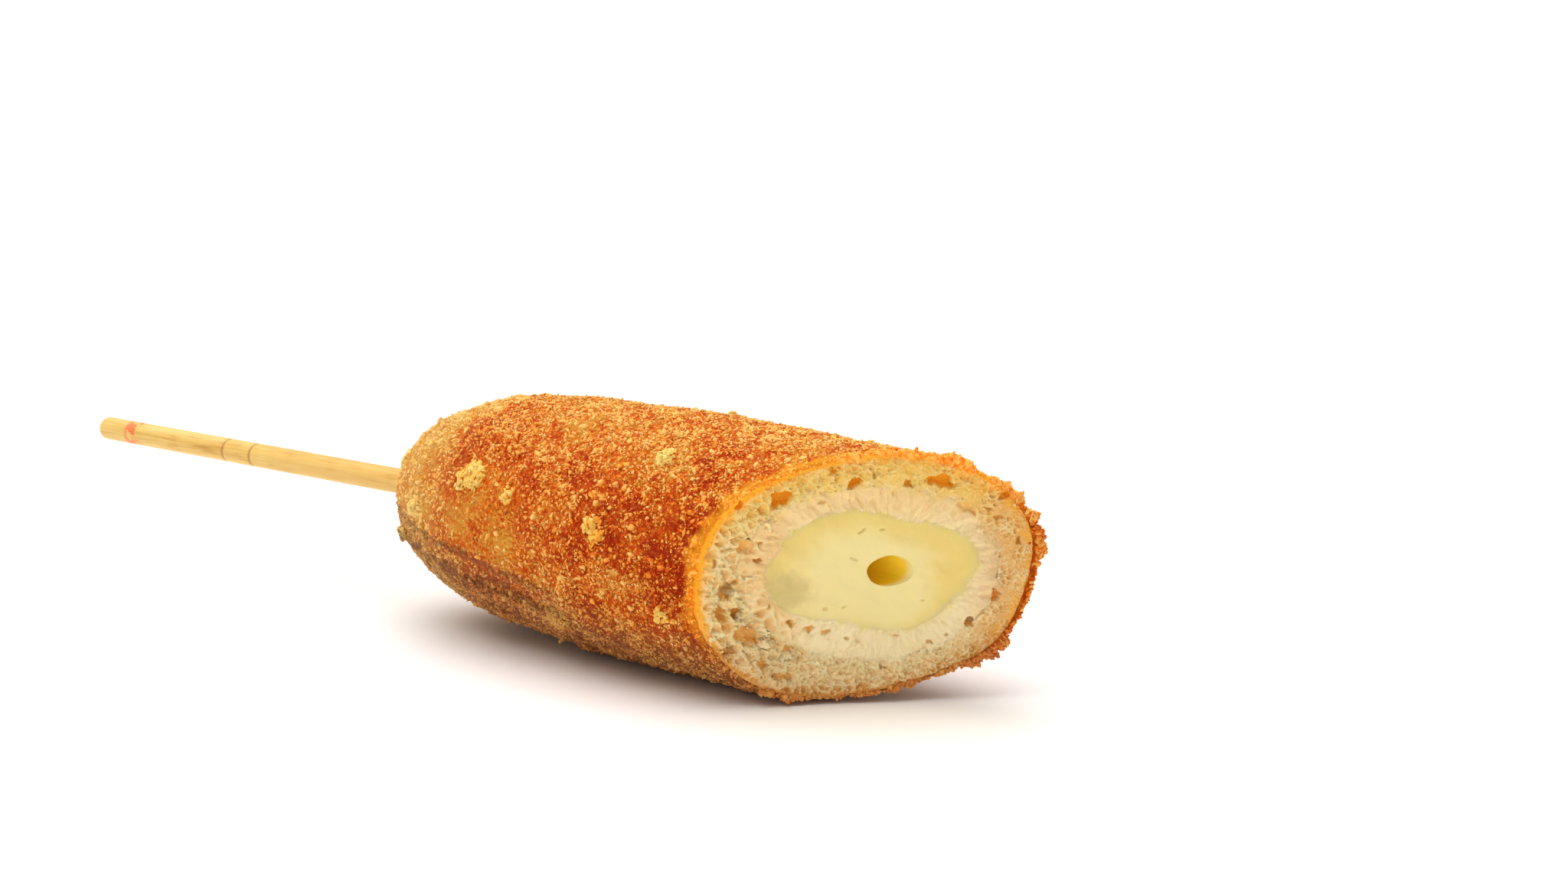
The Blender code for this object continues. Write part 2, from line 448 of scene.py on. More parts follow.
def snap(points, centre_y, centre_z, edge):
    """Pulls the corners within half a square of an outline onto it, along their own ray."""
    y, z = points[:, 1] - centre_y, points[:, 2] - centre_z
    turn, reach = np.arctan2(z, y), np.hypot(y, z)
    wanted = edge(turn)
    near = np.abs(reach - wanted) < 0.5 * SQUARE
    ratio = np.where(near, wanted / np.maximum(reach, 1e-6), 1.0)
    moved = points.copy()
    moved[:, 1] = centre_y + y * ratio
    moved[:, 2] = centre_z + z * ratio
    slide = (moved - CUT_CENTRE) @ np.array(CUT_NORMAL) / CUT_NORMAL.x
    moved[:, 0] -= slide
    return moved


def beyond(points, centre_y, centre_z, edge):
    y, z = points[:, 1] - centre_y, points[:, 2] - centre_z
    return np.hypot(y, z) - edge(np.arctan2(z, y))


def hole_edge(turn):
    return HOLE_RADIUS + 0.12 * MM * ripple(turn, 8, (2, 3, 5))


middle = (0.0, CUT_CENTRE.z)
hole = (hole_y, hole_z)
for centre, edge in ((middle, bread_edge), (middle, dough_edge), (middle, cheese_edge), (hole, hole_edge)):
    cut_spots = snap(cut_spots, *centre, edge)
place_points(sheet, cut_spots)
print("sheet of", len(sheet.data.polygons), "squares")

# %% Which layer each square belongs to
BREAD, DOUGH, CHEESE = 0, 1, 2


def face_centres(obj):
    centres = np.empty(len(obj.data.polygons) * 3, np.float32)
    obj.data.polygons.foreach_get("center", centres)
    return centres.reshape(-1, 3).astype(float)


def delete_where(obj, unwanted):
    choose(obj, faces=unwanted)
    with editing(obj, "FACE"):
        bpy.ops.mesh.delete(type="FACE")


centres = face_centres(sheet)
outside_bread = beyond(centres, *middle, bread_edge) > 0
delete_where(sheet, outside_bread | (beyond(centres, *hole, hole_edge) < 0))

centres = face_centres(sheet)
layer = np.where(beyond(centres, *middle, dough_edge) > 0, BREAD, DOUGH)
layer[beyond(centres, *middle, cheese_edge) < 0] = CHEESE
sheet.data.attributes.new("layer", "INT", "FACE").data.foreach_set("value", layer)
print("squares of bread, dough and cheese:", np.bincount(layer))

# %% [markdown]
# ## Torn bread
# Bread that is cut warm tears: gas cells open as pits with ragged lips, and the crumb between them
# is a froth of smaller cells. The large pits are placed one by one. The froth is layers of Voronoi
# and cloud displacement of several sizes, each pushed along X, the corn dog's length.

# %% Pits
from mathutils import noise


def sheet_places(points):
    """Places on the cut, in millimetres across and up from the middle of the skewer's hole line."""
    offset = points - np.array(CUT_CENTRE)
    return offset @ np.array(ACROSS) / MM, offset @ np.array(UPWARD) / MM


def cloud(across, up, size, seed):
    """Smooth noise over the cut, about -1 to 1, with lumps about size millimetres across."""
    values = [noise.noise((a / size, b / size, seed)) for a, b in zip(across, up)]
    return np.array(values) * 1.8


def soft_step(value, low, high):
    ratio = np.clip((value - low) / (high - low), 0.0, 1.0)
    return ratio * ratio * (3.0 - 2.0 * ratio)


across, up = sheet_places(points_of(sheet))


def press(pits, raggedness, lip, seed):
    """How deep pits (across, up, half width, half height, depth, tilt) go, in millimetres."""
    coarse = [cloud(across, up, 1.6, seed + shift) for shift in (0, 20)]
    fine = [cloud(across, up, 0.6, seed + shift) for shift in (9, 29)]
    warp_across = across + raggedness * (coarse[0] + 0.6 * fine[0])
    warp_up = up + raggedness * (coarse[1] + 0.6 * fine[1])
    depth = np.zeros(len(across))
    for at_across, at_up, half_width, half_height, deep, tilt in pits:
        turn = math.radians(tilt)
        du, dv = warp_across - at_across, warp_up - at_up
        along = (du * math.cos(turn) + dv * math.sin(turn)) / half_width
        aside = (dv * math.cos(turn) - du * math.sin(turn)) / half_height
        away = np.hypot(along, aside)
        bowl = 0.75 + 0.25 * np.cos(np.minimum(away, 1.0) * math.pi / 2)
        hollow = deep * (1.0 - soft_step(away, 0.65, 1.1)) * bowl
        raised = lip * np.exp(-(((away - 1.3) / 0.22) ** 2))
        depth = np.maximum(depth, hollow) - np.where(hollow > 0.05, 0.0, raised)
    return depth


BREAD_PITS = [
    (-18.6, 14.3, 2.3, 1.4, 2.6, 25), (-5.0, 17.0, 1.5, 1.0, 2.2, 15), (11.5, 16.9, 2.7, 1.3, 2.4, -8),
    (5.3, 16.8, 0.9, 0.8, 1.4, 0), (-26.3, 13.3, 0.6, 1.3, 1.8, -10), (-25.0, 5.6, 1.4, 1.8, 1.2, 20),
    (-22.0, 5.9, 0.6, 0.8, 1.2, 0), (-30.9, 2.5, 0.5, 0.8, 1.2, 0), (-23.0, 2.8, 0.7, 0.5, 1.0, 0),
    (-28.9, -3.0, 1.6, 1.8, 2.2, -20), (-29.6, -7.4, 1.0, 1.8, 1.9, 8), (-27.1, -7.4, 0.9, 1.7, 1.7, -8),
    (-24.7, -11.9, 2.9, 1.9, 2.6, -25), (-16.8, -14.6, 0.9, 1.1, 1.4, 0), (-21.8, -17.6, 1.2, 0.9, 1.4, 0),
    (-18.2, -20.2, 1.8, 0.8, 1.4, 5), (21.7, -5.6, 0.8, 1.5, 2.0, -12), (26.2, 5.4, 0.6, 1.2, 1.5, 10),
    (16.4, 11.6, 2.2, 1.0, 0.9, -25), (23.0, 13.9, 0.9, 0.6, 1.2, 0), (17.2, -10.8, 0.9, 1.1, 1.6, 15),
    (13.3, -13.2, 0.6, 0.4, 1.0, 0), (9.6, -14.1, 0.7, 0.5, 1.1, 0), (1.0, -19.0, 0.7, 0.4, 1.0, 0),
    (-9.1, 19.2, 0.6, 0.8, 1.2, 0), (-1.3, 18.7, 0.5, 0.6, 1.0, 0), (22.1, 9.7, 0.6, 0.5, 0.9, 0),
    (20.3, 11.3, 0.5, 0.5, 0.9, 0), (-26.9, -1.2, 0.8, 0.6, 1.4, 20), (-28.2, -14.6, 0.9, 0.7, 1.4, 0),
]
CHEESE_MARKS = [
    (-3.6, 7.9, 0.9, 0.22, 0.5, 35), (0.4, 8.1, 0.7, 0.15, 0.35, 5), (-4.7, 2.5, 0.9, 0.15, 0.35, -18),
    (-10.1, -6.9, 0.55, 0.3, 0.5, 0), (-6.3, -6.8, 0.55, 0.22, 0.45, 25), (8.0, -5.9, 0.5, 0.16, 0.3, -8),
]
DOUGH_POCKETS = [
    (-16.9, -9.6, 0.9, 0.7, 1.6, -20), (-13.0, -10.9, 1.0, 0.7, 1.6, 0), (-9.9, -11.6, 0.9, 0.6, 1.5, 0),
    (-6.4, -12.9, 0.6, 0.4, 0.9, 0), (3.6, -12.8, 0.7, 0.4, 1.0, 0), (17.4, -10.2, 0.8, 1.0, 1.4, 20),
    (-22.4, 2.6, 0.6, 0.5, 1.0, 0), (-20.5, -6.4, 0.5, 0.5, 0.8, 0), (-11.0, 13.7, 0.7, 0.4, 0.7, 20),
]

TORN_RIDGES = [
    (-30.6, -4.4, 1.3, 0.5, 0.9, 70), (-26.6, -3.6, 1.5, 0.5, 1.0, -40), (-25.6, -8.9, 1.6, 0.6, 1.1, 20),
    (-22.0, -10.6, 1.3, 0.5, 1.2, -50), (-21.3, -13.6, 1.8, 0.7, 1.3, 20), (-30.8, -11.5, 1.2, 0.5, 0.9, 60),
    (-17.0, -16.6, 1.6, 0.5, 0.9, 10), (-12.8, -16.9, 1.5, 0.4, 0.8, -5), (-29.0, -17.0, 1.3, 0.5, 0.8, -30),
    (-25.2, -0.7, 1.2, 0.4, 0.9, 10), (-4.0, -14.6, 1.4, 0.4, 0.6, -5), (0.1, -11.8, 1.0, 0.3, 0.6, 10),
    (-20.5, 9.6, 1.3, 0.4, 0.6, 40), (-13.0, 15.4, 1.2, 0.4, 0.6, 10), (19.4, 7.0, 1.1, 0.4, 0.5, -50),
    (22.6, -1.0, 1.2, 0.4, 0.6, 80), (19.6, -9.4, 1.1, 0.4, 0.6, 50), (8.0, -16.2, 1.3, 0.4, 0.6, 10),
]

pit_depth = (
    press(BREAD_PITS, 0.4, 0.3, 11) + press(DOUGH_POCKETS, 0.25, 0.15, 31) + press(CHEESE_MARKS, 0.1, 0.06, 51)
    - press(TORN_RIDGES, 0.7, 0.0, 61)
)
place_points(sheet, points_of(sheet) - pit_depth[:, None] * MM * np.array(CUT_NORMAL))


def remember(piece, name, values):
    """Stores a number a corner on the mesh, for its material to read."""
    piece.data.attributes.new(name, "FLOAT", "POINT").data.foreach_set("value", values.astype(np.float32))


flat = np.array(CUT_CENTRE) + (across[:, None] * np.array(ACROSS) + up[:, None] * np.array(UPWARD)) * MM
from_crust = -beyond(flat, *middle, bread_edge) / MM
past_dough = beyond(flat, *middle, dough_edge) / MM
past_cheese = beyond(flat, *middle, cheese_edge) / MM
remember(sheet, "pit", pit_depth)
remember(sheet, "from_crust", from_crust)
remember(sheet, "past_dough", past_dough)
remember(sheet, "past_cheese", past_cheese)

# %% Froth


def weigh(piece, name, weights):
    """A vertex group from one weight a corner, rounded so that corners are grouped by weight."""
    group = piece.vertex_groups.new(name=name)
    rounded = np.round(np.clip(weights, 0.0, 1.0), 2)
    for weight in np.unique(rounded):
        if weight > 0:
            group.add(np.flatnonzero(rounded == weight).tolist(), float(weight), "REPLACE")


def pattern(kind, size, **settings):
    texture = bpy.data.textures.new(f"{kind.lower()}_{size}", kind)
    texture.noise_scale = size * MM
    for setting, value in settings.items():
        setattr(texture, setting, value)
    return texture


def displace(piece, texture, height, group="", middle_level=0.5, direction="NORMAL"):
    finish_with(
        piece, "DISPLACE", texture=texture, texture_coords="LOCAL", direction=direction,
        strength=height * MM, mid_level=middle_level, vertex_group=group,
    )


def cells(size):
    """Round cells with thin walls between them: high in the middle of a cell, low at its wall."""
    return pattern("VORONOI", size, weight_1=-1.0, weight_2=1.0)


# The crumb is torn open at the lower left and finer to the right, and it has its smallest pores
# along the lower crust, so each size of cell has a group of its own.
in_bread = soft_step(past_dough, -0.3, 0.6) * soft_step(from_crust, 0.1, 0.9)
in_bread *= 1.0 - 0.6 * soft_step(pit_depth, 0.3, 1.0)
torn = np.exp(-(((across + 23.0) / 7.0) ** 2) - ((up + 9.5) / 7.0) ** 2)
weigh(sheet, "rim", soft_step(from_crust, 0.1, 1.2))
weigh(sheet, "open_bread", in_bread * np.clip(0.45 + torn - across / 60.0, 0.0, 1.0))
weigh(sheet, "patches", in_bread * soft_step(cloud(across, up, 3.2, 71), -0.5, 0.6))
low_crumb = soft_step(-up, 9.0, 17.0)
weigh(sheet, "fine", in_bread * np.clip(soft_step(cloud(across, up, 2.0, 81), -0.1, 0.9) + low_crumb, 0.0, 1.0))
weigh(sheet, "torn", torn * soft_step(past_cheese, 0.0, 1.5) * soft_step(from_crust, 0.1, 0.9))
weigh(sheet, "dough", soft_step(-past_dough, -0.5, 0.5) * soft_step(past_cheese, 0.0, 0.7))
weigh(sheet, "cheese", soft_step(-past_cheese, 0.0, 1.2))

RELIEF = (
    ("CLOUDS", 6.0, 1.7, "rim"), ("CLOUDS", 2.4, 1.3, "open_bread"), ("CLOUDS", 3.0, 2.6, "torn"),
    ("CELLS", 2.9, -4.8, "torn"), ("CELLS", 2.1, -4.0, "open_bread"), ("CELLS", 1.2, -2.8, "patches"),
    ("CELLS", 0.7, -1.9, "fine"), ("CLOUDS", 0.6, 0.5, "open_bread"), ("CLOUDS", 0.6, 0.3, "fine"), ("CLOUDS", 2.6, 1.1, "dough"),
    ("CELLS", 1.6, -1.1, "dough"), ("CLOUDS", 9.0, 0.6, "cheese"), ("CLOUDS", 1.4, 0.12, "cheese"),
)
froth_depth = np.zeros(len(across))
for kind, size, height, group in RELIEF:
    before = points_of(sheet)[:, 0]
    if kind == "CELLS":
        displace(sheet, cells(size), height, group, 0.12, "X")
        froth_depth += (before - points_of(sheet)[:, 0]) / MM
    else:
        displace(sheet, pattern(kind, size, noise_depth=1), height, group, 0.5, "X")
remember(sheet, "froth", froth_depth)
print("froth", round(froth_depth.min(), 2), "to", round(froth_depth.max(), 2), "mm deep")

# %% Fibres: the dough pulls into threads that run outwards from the cheese
round_ring = np.arctan2(up, across) * 14.0
reach_ring = np.hypot(up, across)
threads = cloud(round_ring, reach_ring * 0.4, 2.4, 95) * 0.28 + cloud(round_ring * 2.0, reach_ring * 0.35, 1.3, 91) * 0.2
threads += cloud(round_ring, reach_ring * 0.25, 0.5, 97) * 0.12
in_dough = soft_step(-past_dough, -0.6, 0.8) * soft_step(past_cheese, 0.0, 0.6)
place_points(sheet, points_of(sheet) + (threads * in_dough)[:, None] * MM * np.array(CUT_NORMAL))

# %% Parting the sheet


def part_off(obj, wanted, name):
    """Parts the squares of one layer off into a piece of their own."""
    layers = np.empty(len(obj.data.polygons), np.int32)
    obj.data.attributes["layer"].data.foreach_get("value", layers)
    choose(obj, faces=layers == wanted)
    with editing(obj, "FACE"):
        bpy.ops.mesh.separate(type="SELECTED")
    piece = next(o for o in bpy.context.selected_objects if o != obj)
    piece.name = piece.data.name = name
    return piece


cheese = part_off(sheet, CHEESE, "cheese_filling")
dough = part_off(sheet, DOUGH, "pale_dough_sleeve")
bread = sheet
bread.name = bread.data.name = "bread"
for piece in (cheese, dough, bread):
    print(piece.name, len(piece.data.polygons), "squares")

# %% Walls: each sheet becomes a closed slab, running back along the corn dog
SLABS = {bread: 6.0 * MM, dough: 6.0 * MM, cheese: 18.0 * MM}


def ring_closed(piece):
    """Joins a piece's two open loops across, and turns its faces outwards."""
    bpy.ops.mesh.select_all(action="DESELECT")
    bpy.ops.mesh.select_non_manifold(extend=False)
    bpy.ops.mesh.bridge_edge_loops()
    bpy.ops.mesh.select_all(action="SELECT")
    bpy.ops.mesh.normals_make_consistent(inside=False)


for piece, depth in SLABS.items():
    with editing(piece, "EDGE"):
        bpy.ops.mesh.select_all(action="DESELECT")
        bpy.ops.mesh.select_non_manifold(extend=False)
        bpy.ops.mesh.mark_sharp()
        bpy.ops.mesh.extrude_edges_move(TRANSFORM_OT_translate={"value": (-depth, 0.0, 0.0)})
        ring_closed(piece)
    pick(piece)
    bpy.ops.object.shade_smooth()

# %% The rest of each layer, behind its slab
OVERLAP = 1.5 * MM


def cut_behind(node_name, shrink, behind):
    """The closed copy of a solid, cut parallel to the cut some way behind it."""
    body = merged_copy(node_name, node_name + "_behind")
    if shrink:
        finish_with(body, "DISPLACE", direction="NORMAL", strength=-shrink, mid_level=0.0)
    with editing(body, "EDGE"):
        bpy.ops.mesh.select_all(action="SELECT")
        bpy.ops.mesh.bisect(
            plane_co=CUT_CENTRE - Vector((behind, 0, 0)), plane_no=CUT_NORMAL, clear_outer=True
        )
        ring_closed(body)
    return body


for piece, node_name, shrink in ((bread, "batter", SKIN_INSET + 0.9 * MM), (dough, "inner_dough", 0.0), (cheese, "cheese", 0.0)):
    body = cut_behind(node_name, shrink, SLABS[piece] - OVERLAP)
    pick(piece, body)
    bpy.ops.object.join()
    print(piece.name, len(piece.data.polygons), "faces with its body")

# %% [markdown]
# ## The crust
# The crust is a thin fried skin over the bread. It starts as a copy of the batter, remeshed to even
# squares, keeps only the outer skin, and gets its thickness back from Solidify. Its own relief is
# the lumps of crumb that fused into it; loose crumbs come later, as pieces of their own.

# %% Skin
CRUST_SQUARE = 0.72 * MM
CRUST_THICKNESS = 0.7 * MM
TRIM = 1.0 * MM

crust = merged_copy("batter", "crust")
finish_with(crust, "REMESH", mode="VOXEL", voxel_size=CRUST_SQUARE)
finish_with(crust, "SMOOTH", factor=0.5, iterations=14)


def ahead_of_cut(points):
    return (points - np.array(CUT_CENTRE)) @ np.array(CUT_NORMAL)


def faces_inward(obj):
    """True for faces that look towards the corn dog's middle: the room for the filling."""
    normals = np.empty(len(obj.data.polygons) * 3, np.float32)
    obj.data.polygons.foreach_get("normal", normals)
    outwards = face_centres(obj) - np.array([0.0, 0.0, CUT_CENTRE.z])
    outwards[:, 0] = np.minimum(outwards[:, 0] + 45 * MM, 0.0)
    return (normals.reshape(-1, 3) * outwards).sum(axis=1) < 0


inner = faces_inward(crust)
near_cut = ahead_of_cut(face_centres(crust)) > -TRIM * 1.6
reach = np.hypot(face_centres(crust)[:, 1], face_centres(crust)[:, 2] - CUT_CENTRE.z)
choose(crust, faces=(inner & (reach < 21 * MM)) | (near_cut & (reach < 20 * MM)))
with editing(crust, "FACE"):
    bpy.ops.mesh.delete(type="FACE")
    bpy.ops.mesh.select_all(action="SELECT")
    bpy.ops.mesh.bisect(plane_co=CUT_CENTRE - CUT_NORMAL * TRIM, plane_no=CUT_NORMAL, clear_outer=True)
    bpy.ops.mesh.select_all(action="DESELECT")
finish_with(crust, "DISPLACE", direction="NORMAL", strength=-SKIN_INSET, mid_level=0.0)
print("crust skin", len(crust.data.polygons), "faces")

# %% Thickness, rim and relief


def open_rim(obj, keep):
    """Selects the open edges whose middles pass the test, in edit mode on edges."""
    bpy.ops.mesh.select_all(action="DESELECT")
    bpy.ops.mesh.select_non_manifold(extend=False)
    bpy.ops.object.mode_set(mode="OBJECT")
    mesh = obj.data
    points = points_of(obj)
    for edge in mesh.edges:
        if edge.select:
            middle_of_edge = points[list(edge.vertices)].mean(axis=0)
            edge.select = bool(keep(middle_of_edge[None])[0])
    bpy.ops.object.mode_set(mode="EDIT")


with editing(crust, "EDGE"):
    open_rim(crust, lambda place: ahead_of_cut(place) > -2 * TRIM)
    bpy.ops.mesh.extrude_edges_move(TRANSFORM_OT_translate={"value": (TRIM / CUT_NORMAL.x, 0.0, 0.0)})

crust.vertex_groups.new(name="inside")
finish_with(crust, "SOLIDIFY", thickness=CRUST_THICKNESS, offset=-1.0, shell_vertex_group="inside")
group = crust.vertex_groups["inside"].index
outside = np.array([all(g.group != group for g in v.groups) for v in crust.data.vertices])
points = points_of(crust)
weigh(crust, "relief", np.where(outside, soft_step(points[:, 2] / MM, 0.1, 1.5), 0.0))
displace(crust, pattern("CLOUDS", 9.0, noise_depth=1), 0.9, "relief")
displace(crust, pattern("CLOUDS", 3.0, noise_depth=2), 0.9, "relief")
displace(crust, pattern("CLOUDS", 1.4, noise_depth=1), 0.7, "relief")

# %% Clumps: crumbs that stuck together and fried into the skin
# (along, turn up from the front in degrees, half size)
CLUMPS = [
    (-39.0, 27.0, 2.8), (-42.0, 25.0, 2.0), (6.6, 51.0, 2.1), (-3.0, 10.0, 1.7), (-5.0, 14.0, 1.5),
    (-18.6, -39.0, 2.8), (-58.0, 4.0, 2.0), (-28.0, 20.0, 1.5), (-66.0, -20.0, 1.8),
    (12.0, -20.0, 1.5), (-70.0, 40.0, 1.8), (0.0, 120.0, 2.4),
    (-45.0, 140.0, 2.6), (-80.0, 150.0, 2.2), (30.0, 160.0, 2.4), (-10.0, 190.0, 2.4), (-60.0, 200.0, 2.6),
    (45.0, 130.0, 2.2), (-96.0, 10.0, 1.8), (-100.0, 120.0, 2.2), (-88.0, -30.0, 1.8),
]
# On the edge of the cut: (turn round the cut from its right-hand side in degrees, half size)
RIM_CLUMPS = [
    (68.0, 2.2), (63.0, 1.8), (45.0, 1.4), (38.0, 1.8), (27.0, 1.9), (17.0, 2.2), (9.0, 2.4), (102.0, 1.4),
    (-40.0, 1.7), (-47.0, 1.5), (-53.0, 1.7), (-76.0, 1.2), (-81.0, 1.0), (-114.0, 1.3), (-120.0, 1.0),
]


def on_crust(along_x, turn):
    """Where a ray from far off towards the corn dog's middle line meets the crust."""
    angle = math.radians(turn)
    outward = Vector((0.0, -math.cos(angle), math.sin(angle)))
    middle_line = Vector((along_x * MM, 0.0, CUT_CENTRE.z))
    hit, spot, _, _ = crust.ray_cast(middle_line + outward * 60 * MM, -outward)
    return spot if hit else middle_line + outward * 24 * MM


def on_rim(turn):
    """A place on the crust's edge at the cut, by the angle round the corn dog's middle line."""
    angle = math.radians(turn)
    reach = float(batter_rim(angle))
    y, z = reach * math.cos(angle), reach * math.sin(angle)
    return Vector((CUT_CENTRE.x - (CUT_NORMAL.y * y + CUT_NORMAL.z * z) / CUT_NORMAL.x, y, CUT_CENTRE.z + z))


side_spots = [(on_crust(x, turn), size * MM) for x, turn, size in CLUMPS]
rim_spots = [(on_rim(turn), size * MM) for turn, size in RIM_CLUMPS]
points = points_of(crust)
bulge = np.zeros(len(points))
for spot, size in side_spots + rim_spots:
    away = np.linalg.norm(points - np.array(spot), axis=1) / size
    bulge = np.maximum(bulge, 1.0 - soft_step(away, 0.4, 1.0))
weigh(crust, "clumps", np.where(outside, bulge, 0.0))
displace(crust, pattern("CLOUDS", 1.6, noise_depth=1), 1.5, "clumps", 0.0)
pick(crust)
bpy.ops.object.shade_smooth()
print("crust", len(crust.data.polygons), "faces")

# %% [markdown]
# ## Finishes at the cut
# Bread, dough and cheese all glow a little: light goes in, wanders and comes out warmer. That is
# subsurface scattering, a fixed number on the shader. The colour over it changes from place to
# place, and has no hard line between the layers, because dough soaked into bread and cheese into
# dough. So all three wear one colour recipe, which reads how far each spot lies from each outline.
# Part of that colour is painted light: an orange painted glow under the thin top and left crust and
# in the skewer's hole, paler painted highlights on raised crumb, painted shade in the froth's deep
# cells, and an emission glow from deep places.

# %% One recipe for the cut's colours
CHEESE_MID, CHEESE_RIM, CHEESE_DIM = (0.95, 0.80, 0.35), (0.89, 0.68, 0.20), (0.56, 0.45, 0.17)
# painted glow: the top colours on this line and the next are more orange, for light coming through the thin top crust
DOUGH_MID, DOUGH_TOP_PAINTED_GLOW, DOUGH_LEFT = (0.99, 0.81, 0.49), (0.98, 0.70, 0.34), (0.92, 0.62, 0.27)
BREAD_MID, BREAD_TOP_PAINTED_GLOW, BREAD_LOW = (0.98, 0.66, 0.26), (1.0, 0.64, 0.16), (0.93, 0.66, 0.31)
DOUGH_RIGHT, BREAD_RIGHT = (0.83, 0.56, 0.29), (0.86, 0.49, 0.15)
FROTH_SHADE, BREAD_BROWN = (0.94, 0.46, 0.10), (0.64, 0.27, 0.05)
WHITE_CRUMB, CREAM_CRUMB = (1.0, 0.85, 0.49), (1.0, 0.78, 0.32)
# painted glow: the second colour is the orange painted where light comes through the thin crust at the cut
HONEY, PAINTED_EDGE_GLOW = (1.0, 0.50, 0.07), (1.0, 0.46, 0.03)
# painted glow: the first pit colour, for pits near the top, is orange for light coming through the thin top crust
PIT_TOP_PAINTED_GLOW, PIT_LOW = (1.0, 0.46, 0.02), (0.94, 0.52, 0.14)
# painted glow: emission colours, for the crumb's deep places and for the thin crust at the cut
PAINTED_DEEP_GLOW, PAINTED_EDGE_EMISSION = (0.06, 0.026, 0.0), (0.24, 0.045, 0.0)
# painted glow: the skewer hole's wall is a bright saturated yellow, for light coming through the cheese
PAINTED_GLOW_HOLE_WALL = (1.0, 0.66, 0.03)


def hole_wall(finish):
    """1 inside the hole that the skewer left."""
    beside, above = finish.along("Y") - hole_y, finish.along("Z") - hole_z
    from_hole = (beside * beside + above * above) ** 0.5
    behind_cut = finish.dot(CUT_NORMAL) - cut_offset
    return from_hole.step(HOLE_RADIUS + 0.7 * MM, HOLE_RADIUS + 0.2 * MM) * behind_cut.step(-0.2 * MM, -1.8 * MM)


def thin_side(finish):
    """1 along the left and top of the cut, where the crust is thin and lets light through: where the painted glow goes.
    """
    leftward = CUT_CENTRE.dot(ACROSS) - finish.dot(ACROSS)
    upward = finish.dot(UPWARD) - CUT_CENTRE.dot(UPWARD)
    return (leftward * 0.5 + upward * 1.1).step(-2.0 * MM, 14.0 * MM) * 0.9 + 0.1


def cut_colour(finish):
    across_cut = finish.dot(ACROSS / MM) - CUT_CENTRE.dot(ACROSS) / MM
    up_cut = finish.dot(UPWARD / MM) - CUT_CENTRE.dot(UPWARD) / MM
    mottle = finish.noise(2.4 * MM, 4.0)
    grain = finish.noise(0.7 * MM, 3.0)
    near_top = up_cut.step(3.0, 15.0)
    near_low = up_cut.step(-8.0, -16.0)
    at_left = across_cut.step(-12.0, -20.0)
    at_right = across_cut.step(14.0, 24.0)

    # painted glow: bread near the top turns more orange
    bread_colour = finish.blend(near_top, finish.blend(near_low, BREAD_MID, BREAD_LOW), BREAD_TOP_PAINTED_GLOW)
    bread_colour = finish.blend(at_right, bread_colour, BREAD_RIGHT)
    from_rim = finish.attribute("from_crust") + (mottle - 0.5) * 3.0
    # the band's wider part near the top is painted glow
    honey_and_top_glow = from_rim.step(2.4, 0.4) * 0.85 + from_rim.step(5.5, 0.5) * near_top * 0.3
    bread_colour = finish.blend(honey_and_top_glow.clamped(), bread_colour, HONEY)
    bread_colour = finish.blend(from_rim.step(3.6, 0.3) * near_low * 0.75, bread_colour, BREAD_BROWN)

    dough_colour = finish.blend(near_top, finish.blend(at_left, DOUGH_MID, DOUGH_LEFT), DOUGH_TOP_PAINTED_GLOW)
    dough_colour = finish.blend(at_right, dough_colour, DOUGH_RIGHT)
    out_of_dough = finish.attribute("past_dough") + (mottle - 0.5) * 6.0
    crumb = finish.blend(out_of_dough.step(-1.2, 1.8), dough_colour, bread_colour)
    pale_crumb = finish.blend(near_top, WHITE_CRUMB, CREAM_CRUMB)
    crumb = finish.blend(((grain - 0.5) * 1.3 + (mottle - 0.5) * 1.4 + 0.04).clamped(), crumb, pale_crumb)
    froth = finish.attribute("froth")
    # painted shade: the froth's deep cells turn a darker orange
    crumb = finish.blend(froth.step(0.25, 1.1) * (near_top * 0.3 + 0.55), crumb, FROTH_SHADE)
    # painted highlight: the froth's raised walls turn paler
    crumb = finish.blend(froth.step(0.0, -0.35) * 0.55, crumb, pale_crumb)
    # painted glow: orange along the thin left and top crust
    crumb = finish.blend(finish.attribute("from_crust").step(1.0, 0.1) * thin_side(finish), crumb, PAINTED_EDGE_GLOW)
    pit = finish.attribute("pit")
    # painted glow: pits near the top are more orange
    crumb = finish.blend(pit.step(0.3, 1.6) * (near_top * 0.25 + 0.65), crumb, finish.blend(near_top, PIT_LOW, PIT_TOP_PAINTED_GLOW))
    # painted highlight: the pits' raised lips turn paler
    crumb = finish.blend(pit.step(-0.1, -0.5) * 0.75, crumb, pale_crumb)

    into_cheese = 0.0 - finish.attribute("past_cheese")
    drift = finish.noise(8.0 * MM, 2.0)
    rim_reach = into_cheese + (drift - 0.5) * 5.0 + up_cut.step(-1.0, -8.0) * 3.5 - across_cut.step(2.0, 12.0) * 2.5
    cheese_colour = finish.blend(rim_reach.step(0.5, 6.5), CHEESE_RIM, CHEESE_MID)
    dim = ((across_cut + 18.8) ** 2 + (up_cut + 3.4) ** 2 * 2.0 + (drift + mottle - 1.0) * 90.0).step(62.0, -20.0)
    cheese_colour = finish.blend(dim * 0.6, cheese_colour, CHEESE_DIM)
    # painted glow in the skewer's hole
    cheese_colour = finish.blend(hole_wall(finish), cheese_colour, PAINTED_GLOW_HOLE_WALL)
    soaked = (across_cut * 0.6 - up_cut).step(0.0, 14.0) * 0.9 + 0.3
    edge_place = into_cheese + (grain - 0.5) * 1.2 + (mottle - 0.5) * 2.0
    return finish.blend((edge_place / soaked).step(-1.0, 0.6), crumb, cheese_colour), mottle, grain


